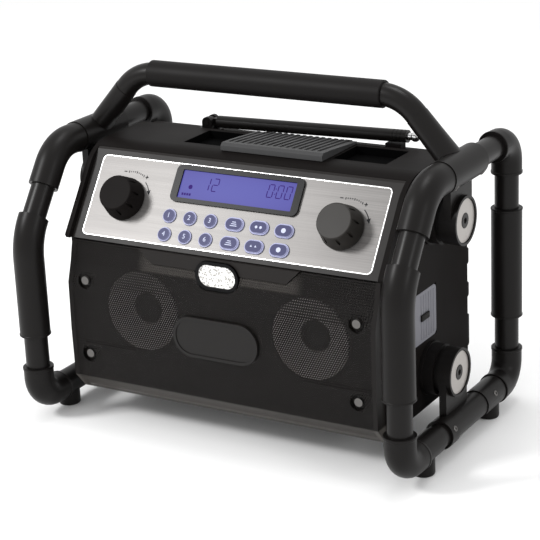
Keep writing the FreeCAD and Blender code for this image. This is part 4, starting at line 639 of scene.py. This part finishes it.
# Bright cut edge round the plate; its profile runs from outside in, as inset and lift
EDGE = {"half": 151.8, "length": 79.6, "corner": 5.0, "cornerSteps": 6,
        "profile": ((0.02, -0.5), (0.02, 0.02), (0.25, 0.08), (0.9, 0.03))}
build = bmesh.new()
outline = []
for cornerX, centreDown, start in (
        (1, EDGE["corner"], 0), (-1, EDGE["corner"], 90),
        (-1, EDGE["length"] - EDGE["corner"], 180), (1, EDGE["length"] - EDGE["corner"], 270)):
    centreX = cornerX * (EDGE["half"] - EDGE["corner"])
    for i in range(EDGE["cornerSteps"] + 1):
        angle = math.radians(start + 90 * i / EDGE["cornerSteps"])
        outline.append((centreX, centreDown, math.cos(angle), math.sin(angle)))
rings = []
for inset, lift in EDGE["profile"]:
    reach = EDGE["corner"] - inset
    rings.append([build.verts.new(panelPoint(cx + c * reach, cd - s * reach, lift))
                  for cx, cd, c, s in outline])
for low, high in zip(rings[:-1], rings[1:]):
    for i in range(len(low)):
        j = (i + 1) % len(low)
        build.faces.new((low[i], low[j], high[j], high[i]))
finishPiece("plateEdge", build, "brightEdge", "frame")

# Screws in the fittings of the cage, set on slopes under the top tees and over the low rails
CAGE = {"x": 191.7, "high": 257.65, "low": 22.9, "tee": 15.0, "sink": 0.5,
        "teeDepths": (-20.5, 34.0), "teeSlope": (0.78, -0.62), "teeScrew": (6.0, 1.2),
        "railSpots": ((-29.0, 13.75), (60.0, 13.5)), "railSlope": (0.9, 0.43),
        "railScrew": (5.4, 1.1)}


def addCageScrew(build, side, y, z, radius, slope, screw):
    out = Vector((side * slope[0], 0, slope[1])).normalized()
    point = Vector((side * CAGE["x"], y, z)) + out * (radius - CAGE["sink"])
    addScrew(build, facingMatrix(point, out), *screw)


build = bmesh.new()
for side in (-1, 1):
    for y in CAGE["teeDepths"]:
        addCageScrew(build, side, y, CAGE["high"], CAGE["tee"], CAGE["teeSlope"],
                     CAGE["teeScrew"])
    for y, radius in CAGE["railSpots"]:
        addCageScrew(build, side, y, CAGE["low"], radius, CAGE["railSlope"],
                     CAGE["railScrew"])
finishPiece("cageScrews", build, "screw", "frame")

# Moulded beads where the sleeves and elbows end on the tubes
BEADS = {"tube": 22.5, "elbow": 28.5, "sleeve": 29.0, "elbowLeg": 32.0, "depth": 113.6,
         "sleeveLow": 86.6, "sleeveHigh": 192.7, "elbowLong": 2.4, "sleeveLong": 1.6,
         "clear": 0.04, "start": 0.3, "lip": 0.35, "crown": 0.5, "turn": 0.3, "root": 0.02,
         "steps": 40}


def addBead(build, centre, way, fitting, length):
    inner = BEADS["tube"] / 2 + BEADS["clear"]
    outer = fitting / 2
    crown = outer + BEADS["crown"]
    addTurned(build, facingMatrix(centre, way, Vector((1, 0, 0))), [
        (inner, -BEADS["start"]), (outer + BEADS["lip"], -BEADS["start"]),
        (crown, -length * BEADS["turn"]), (crown, -length),
        (outer + BEADS["root"], -length - BEADS["crown"])], BEADS["steps"])


build = bmesh.new()
low = CAGE["low"]
high = CAGE["high"]
leg = BEADS["elbowLeg"]
depth = BEADS["depth"]
for side in (-1, 1):
    x = side * CAGE["x"]
    for y, z, way in ((-depth, low + leg, (0, 0, 1)), (depth, low + leg, (0, 0, 1)),
                      (depth, high - leg, (0, 0, -1)), (-depth + leg, low, (0, 1, 0)),
                      (depth - leg, low, (0, -1, 0)), (depth - leg, high, (0, -1, 0))):
        addBead(build, (x, y, z), way, BEADS["elbow"], BEADS["elbowLong"])
    for y, z, way in ((-depth, BEADS["sleeveLow"], (0, 0, -1)),
                      (depth, BEADS["sleeveLow"], (0, 0, -1)),
                      (depth, BEADS["sleeveHigh"], (0, 0, 1))):
        addBead(build, (x, y, z), way, BEADS["sleeve"], BEADS["sleeveLong"])
finishPiece("fittingBeads", build, "fitting", "frame")
print("stage: cage details")

# Painted shade: near-black sheets on the floor and walls of the two recesses in the top, standing
# in for the shadow inside them
RECESSES = {"spans": ((-84.0, -38.0), (74.5, 128.0)), "front": -4.0, "rear": 42.0,
            "floor": 249.5, "top": 257.5, "below": 0.2, "thick": 0.5}
build = bmesh.new()
thick = RECESSES["thick"]
deep = RECESSES["rear"] - RECESSES["front"]
tall = RECESSES["top"] - RECESSES["floor"] - RECESSES["below"]
for left, right in RECESSES["spans"]:
    wide = right - left
    flat = facingMatrix(((left + right) / 2, (RECESSES["front"] + RECESSES["rear"]) / 2,
                         RECESSES["floor"]), (0, 0, 1), Vector((0, 1, 0)))
    addBlock(build, flat, (wide, deep, thick), centre=(0, 0, thick / 2))
    for side in (-1, 1):
        addBlock(build, flat, (thick, deep, tall), centre=(side * (wide - thick) / 2, 0, tall / 2))
        addBlock(build, flat, (wide, thick, tall), centre=(0, side * (deep - thick) / 2, tall / 2))
finishPiece("recessShadeSheets", build, "recessShade", "frame", False)

# Two fine lines across the grille on each side, beside the speakers
CREASES = {"x": 122.0, "depth": -97.4, "heights": (82.0, 79.5), "size": (66.0, 0.5, 0.3)}
build = bmesh.new()
for side in (-1, 1):
    for z in CREASES["heights"]:
        addBlock(build, facingMatrix((side * CREASES["x"], CREASES["depth"], z), (0, -1, 0)),
                 CREASES["size"])
finishPiece("grilleCreases", build, "bezel", "frame", False)

# Tab on the side cover
COVER_TAB = {"middle": (166.0, -10.0, 123.0), "size": (16.0, 6.0, 1.6), "edge": 0.5}
build = bmesh.new()
addBlock(build, facingMatrix(COVER_TAB["middle"], (1, 0, 0)), COVER_TAB["size"],
         COVER_TAB["edge"], (0, 0, COVER_TAB["size"][2] / 2))
finishPiece("coverTab", build, "rubber", "cover")

# Back of the case: screws in its corners
BACK = {"depth": 82.0, "screwX": 150.0, "screwHeights": (48.0, 232.0), "screw": (8.0, 0.9)}


def backPlace(x, z):
    return facingMatrix((x, BACK["depth"], z), (0, 1, 0))


build = bmesh.new()
for side in (-1, 1):
    for z in BACK["screwHeights"]:
        addScrew(build, backPlace(side * BACK["screwX"], z), *BACK["screw"])
finishPiece("backScrews", build, "screw", "frame")

# Latch of the battery door with four grip lines
LATCH = {"middle": (0, 85.8, 166.0), "size": (34.0, 9.0, 2.0), "edge": 0.8, "lift": 0.9,
         "line": (26.0, 0.8, 0.6), "lines": 4, "lineStart": -3.0, "lineStep": 2.0,
         "lineLift": 2.1}
build = bmesh.new()
place = facingMatrix(LATCH["middle"], (0, 1, 0))
addBlock(build, place, LATCH["size"], LATCH["edge"], (0, 0, LATCH["lift"]))
for step in range(LATCH["lines"]):
    addBlock(build, place, LATCH["line"],
             centre=(0, LATCH["lineStart"] + LATCH["lineStep"] * step, LATCH["lineLift"]))
finishPiece("doorLatch", build, "bezel", "door")

# Ribs on both sides of the battery door, and a plain raised field below each set
RIBS = {"x": 112.0, "count": 8, "top": 176.0, "pitch": 8.0, "size": (46.0, 3.0, 0.9),
        "edge": 0.3, "lift": 0.3, "fieldHeight": 90.0, "field": (52.0, 30.0, 0.8),
        "fieldLift": 0.2}
build = bmesh.new()
for side in (-1, 1):
    x = side * RIBS["x"]
    for step in range(RIBS["count"]):
        addBlock(build, backPlace(x, RIBS["top"] - RIBS["pitch"] * step), RIBS["size"],
                 RIBS["edge"], (0, 0, RIBS["lift"]))
    addBlock(build, backPlace(x, RIBS["fieldHeight"]), RIBS["field"], RIBS["edge"],
             (0, 0, RIBS["fieldLift"]))
finishPiece("backRibs", build, "bezel", "frame")
print("stage: case details")

# Floor, light and camera, in metres and watts
FLOOR = {"reach": 6.0, "color": (0.93, 0.93, 0.93), "roughness": 0.8}
reach = FLOOR["reach"]
floorMesh = bpy.data.meshes.new("floorPlane")
floorMesh.from_pydata([(-reach, -reach, 0), (reach, -reach, 0), (reach, reach, 0),
                       (-reach, reach, 0)], [], [(0, 1, 2, 3)])
floor = bpy.data.objects.new("floorPlane", floorMesh)
bpy.context.scene.collection.objects.link(floor)
floorMesh.materials.append(plain("floorSurface", FLOOR["color"], FLOOR["roughness"]).material)

WORLD = {"color": (1.0, 1.0, 1.0, 1.0), "strength": 0.95}
world = bpy.data.worlds.new("softWorld")
bpy.context.scene.world = world
world.use_nodes = True
sky = world.node_tree.nodes["Background"]
sky.inputs["Color"].default_value = WORLD["color"]
sky.inputs["Strength"].default_value = WORLD["strength"]

LIGHTS = {
    "keyLight": dict(place=(-1.2, -1.3, 1.5), aim=(0, 0, 0.15), size=0.5, power=28),
    "sideLight": dict(place=(1.9, -0.6, 0.9), aim=(0, 0, 0.15), size=0.4, power=5),
    "topLight": dict(place=(0.1, 0.3, 1.9), aim=(0, 0, 0.2), size=0.6, power=9),
}


def areaLight(name, place, aim, size, power):
    data = bpy.data.lights.new(name, "AREA")
    data.energy = power
    data.size = size
    lamp = bpy.data.objects.new(name, data)
    bpy.context.scene.collection.objects.link(lamp)
    lamp.location = place
    lamp.rotation_euler = (Vector(aim) - Vector(place)).to_track_quat("-Z", "Y").to_euler()


for name, values in LIGHTS.items():
    areaLight(name, **values)

CAMERA = {"place": (0.8315, -1.3749, 0.6865), "target": (0.03812, -0.06036, 0.165),
          "roll": -2.54, "lens": 120.92, "sensor": 36.0}
cameraData = bpy.data.cameras.new("photoCamera")
cameraData.lens = CAMERA["lens"]
cameraData.sensor_width = CAMERA["sensor"]
camera = bpy.data.objects.new("photoCamera", cameraData)
bpy.context.scene.collection.objects.link(camera)
bpy.context.scene.camera = camera
sight = (Vector(CAMERA["target"]) - Vector(CAMERA["place"])).normalized()
level = sight.cross(Vector((0, 0, 1))).normalized()
upright = level.cross(sight)
roll = math.radians(CAMERA["roll"])
cameraRight = level * math.cos(roll) + upright * math.sin(roll)
cameraUp = upright * math.cos(roll) - level * math.sin(roll)
camera.matrix_world = axesMatrix(Vector(CAMERA["place"]), cameraRight, cameraUp, -sight)
bpy.context.scene.view_settings.view_transform = "Standard"


print("stage: scene done")
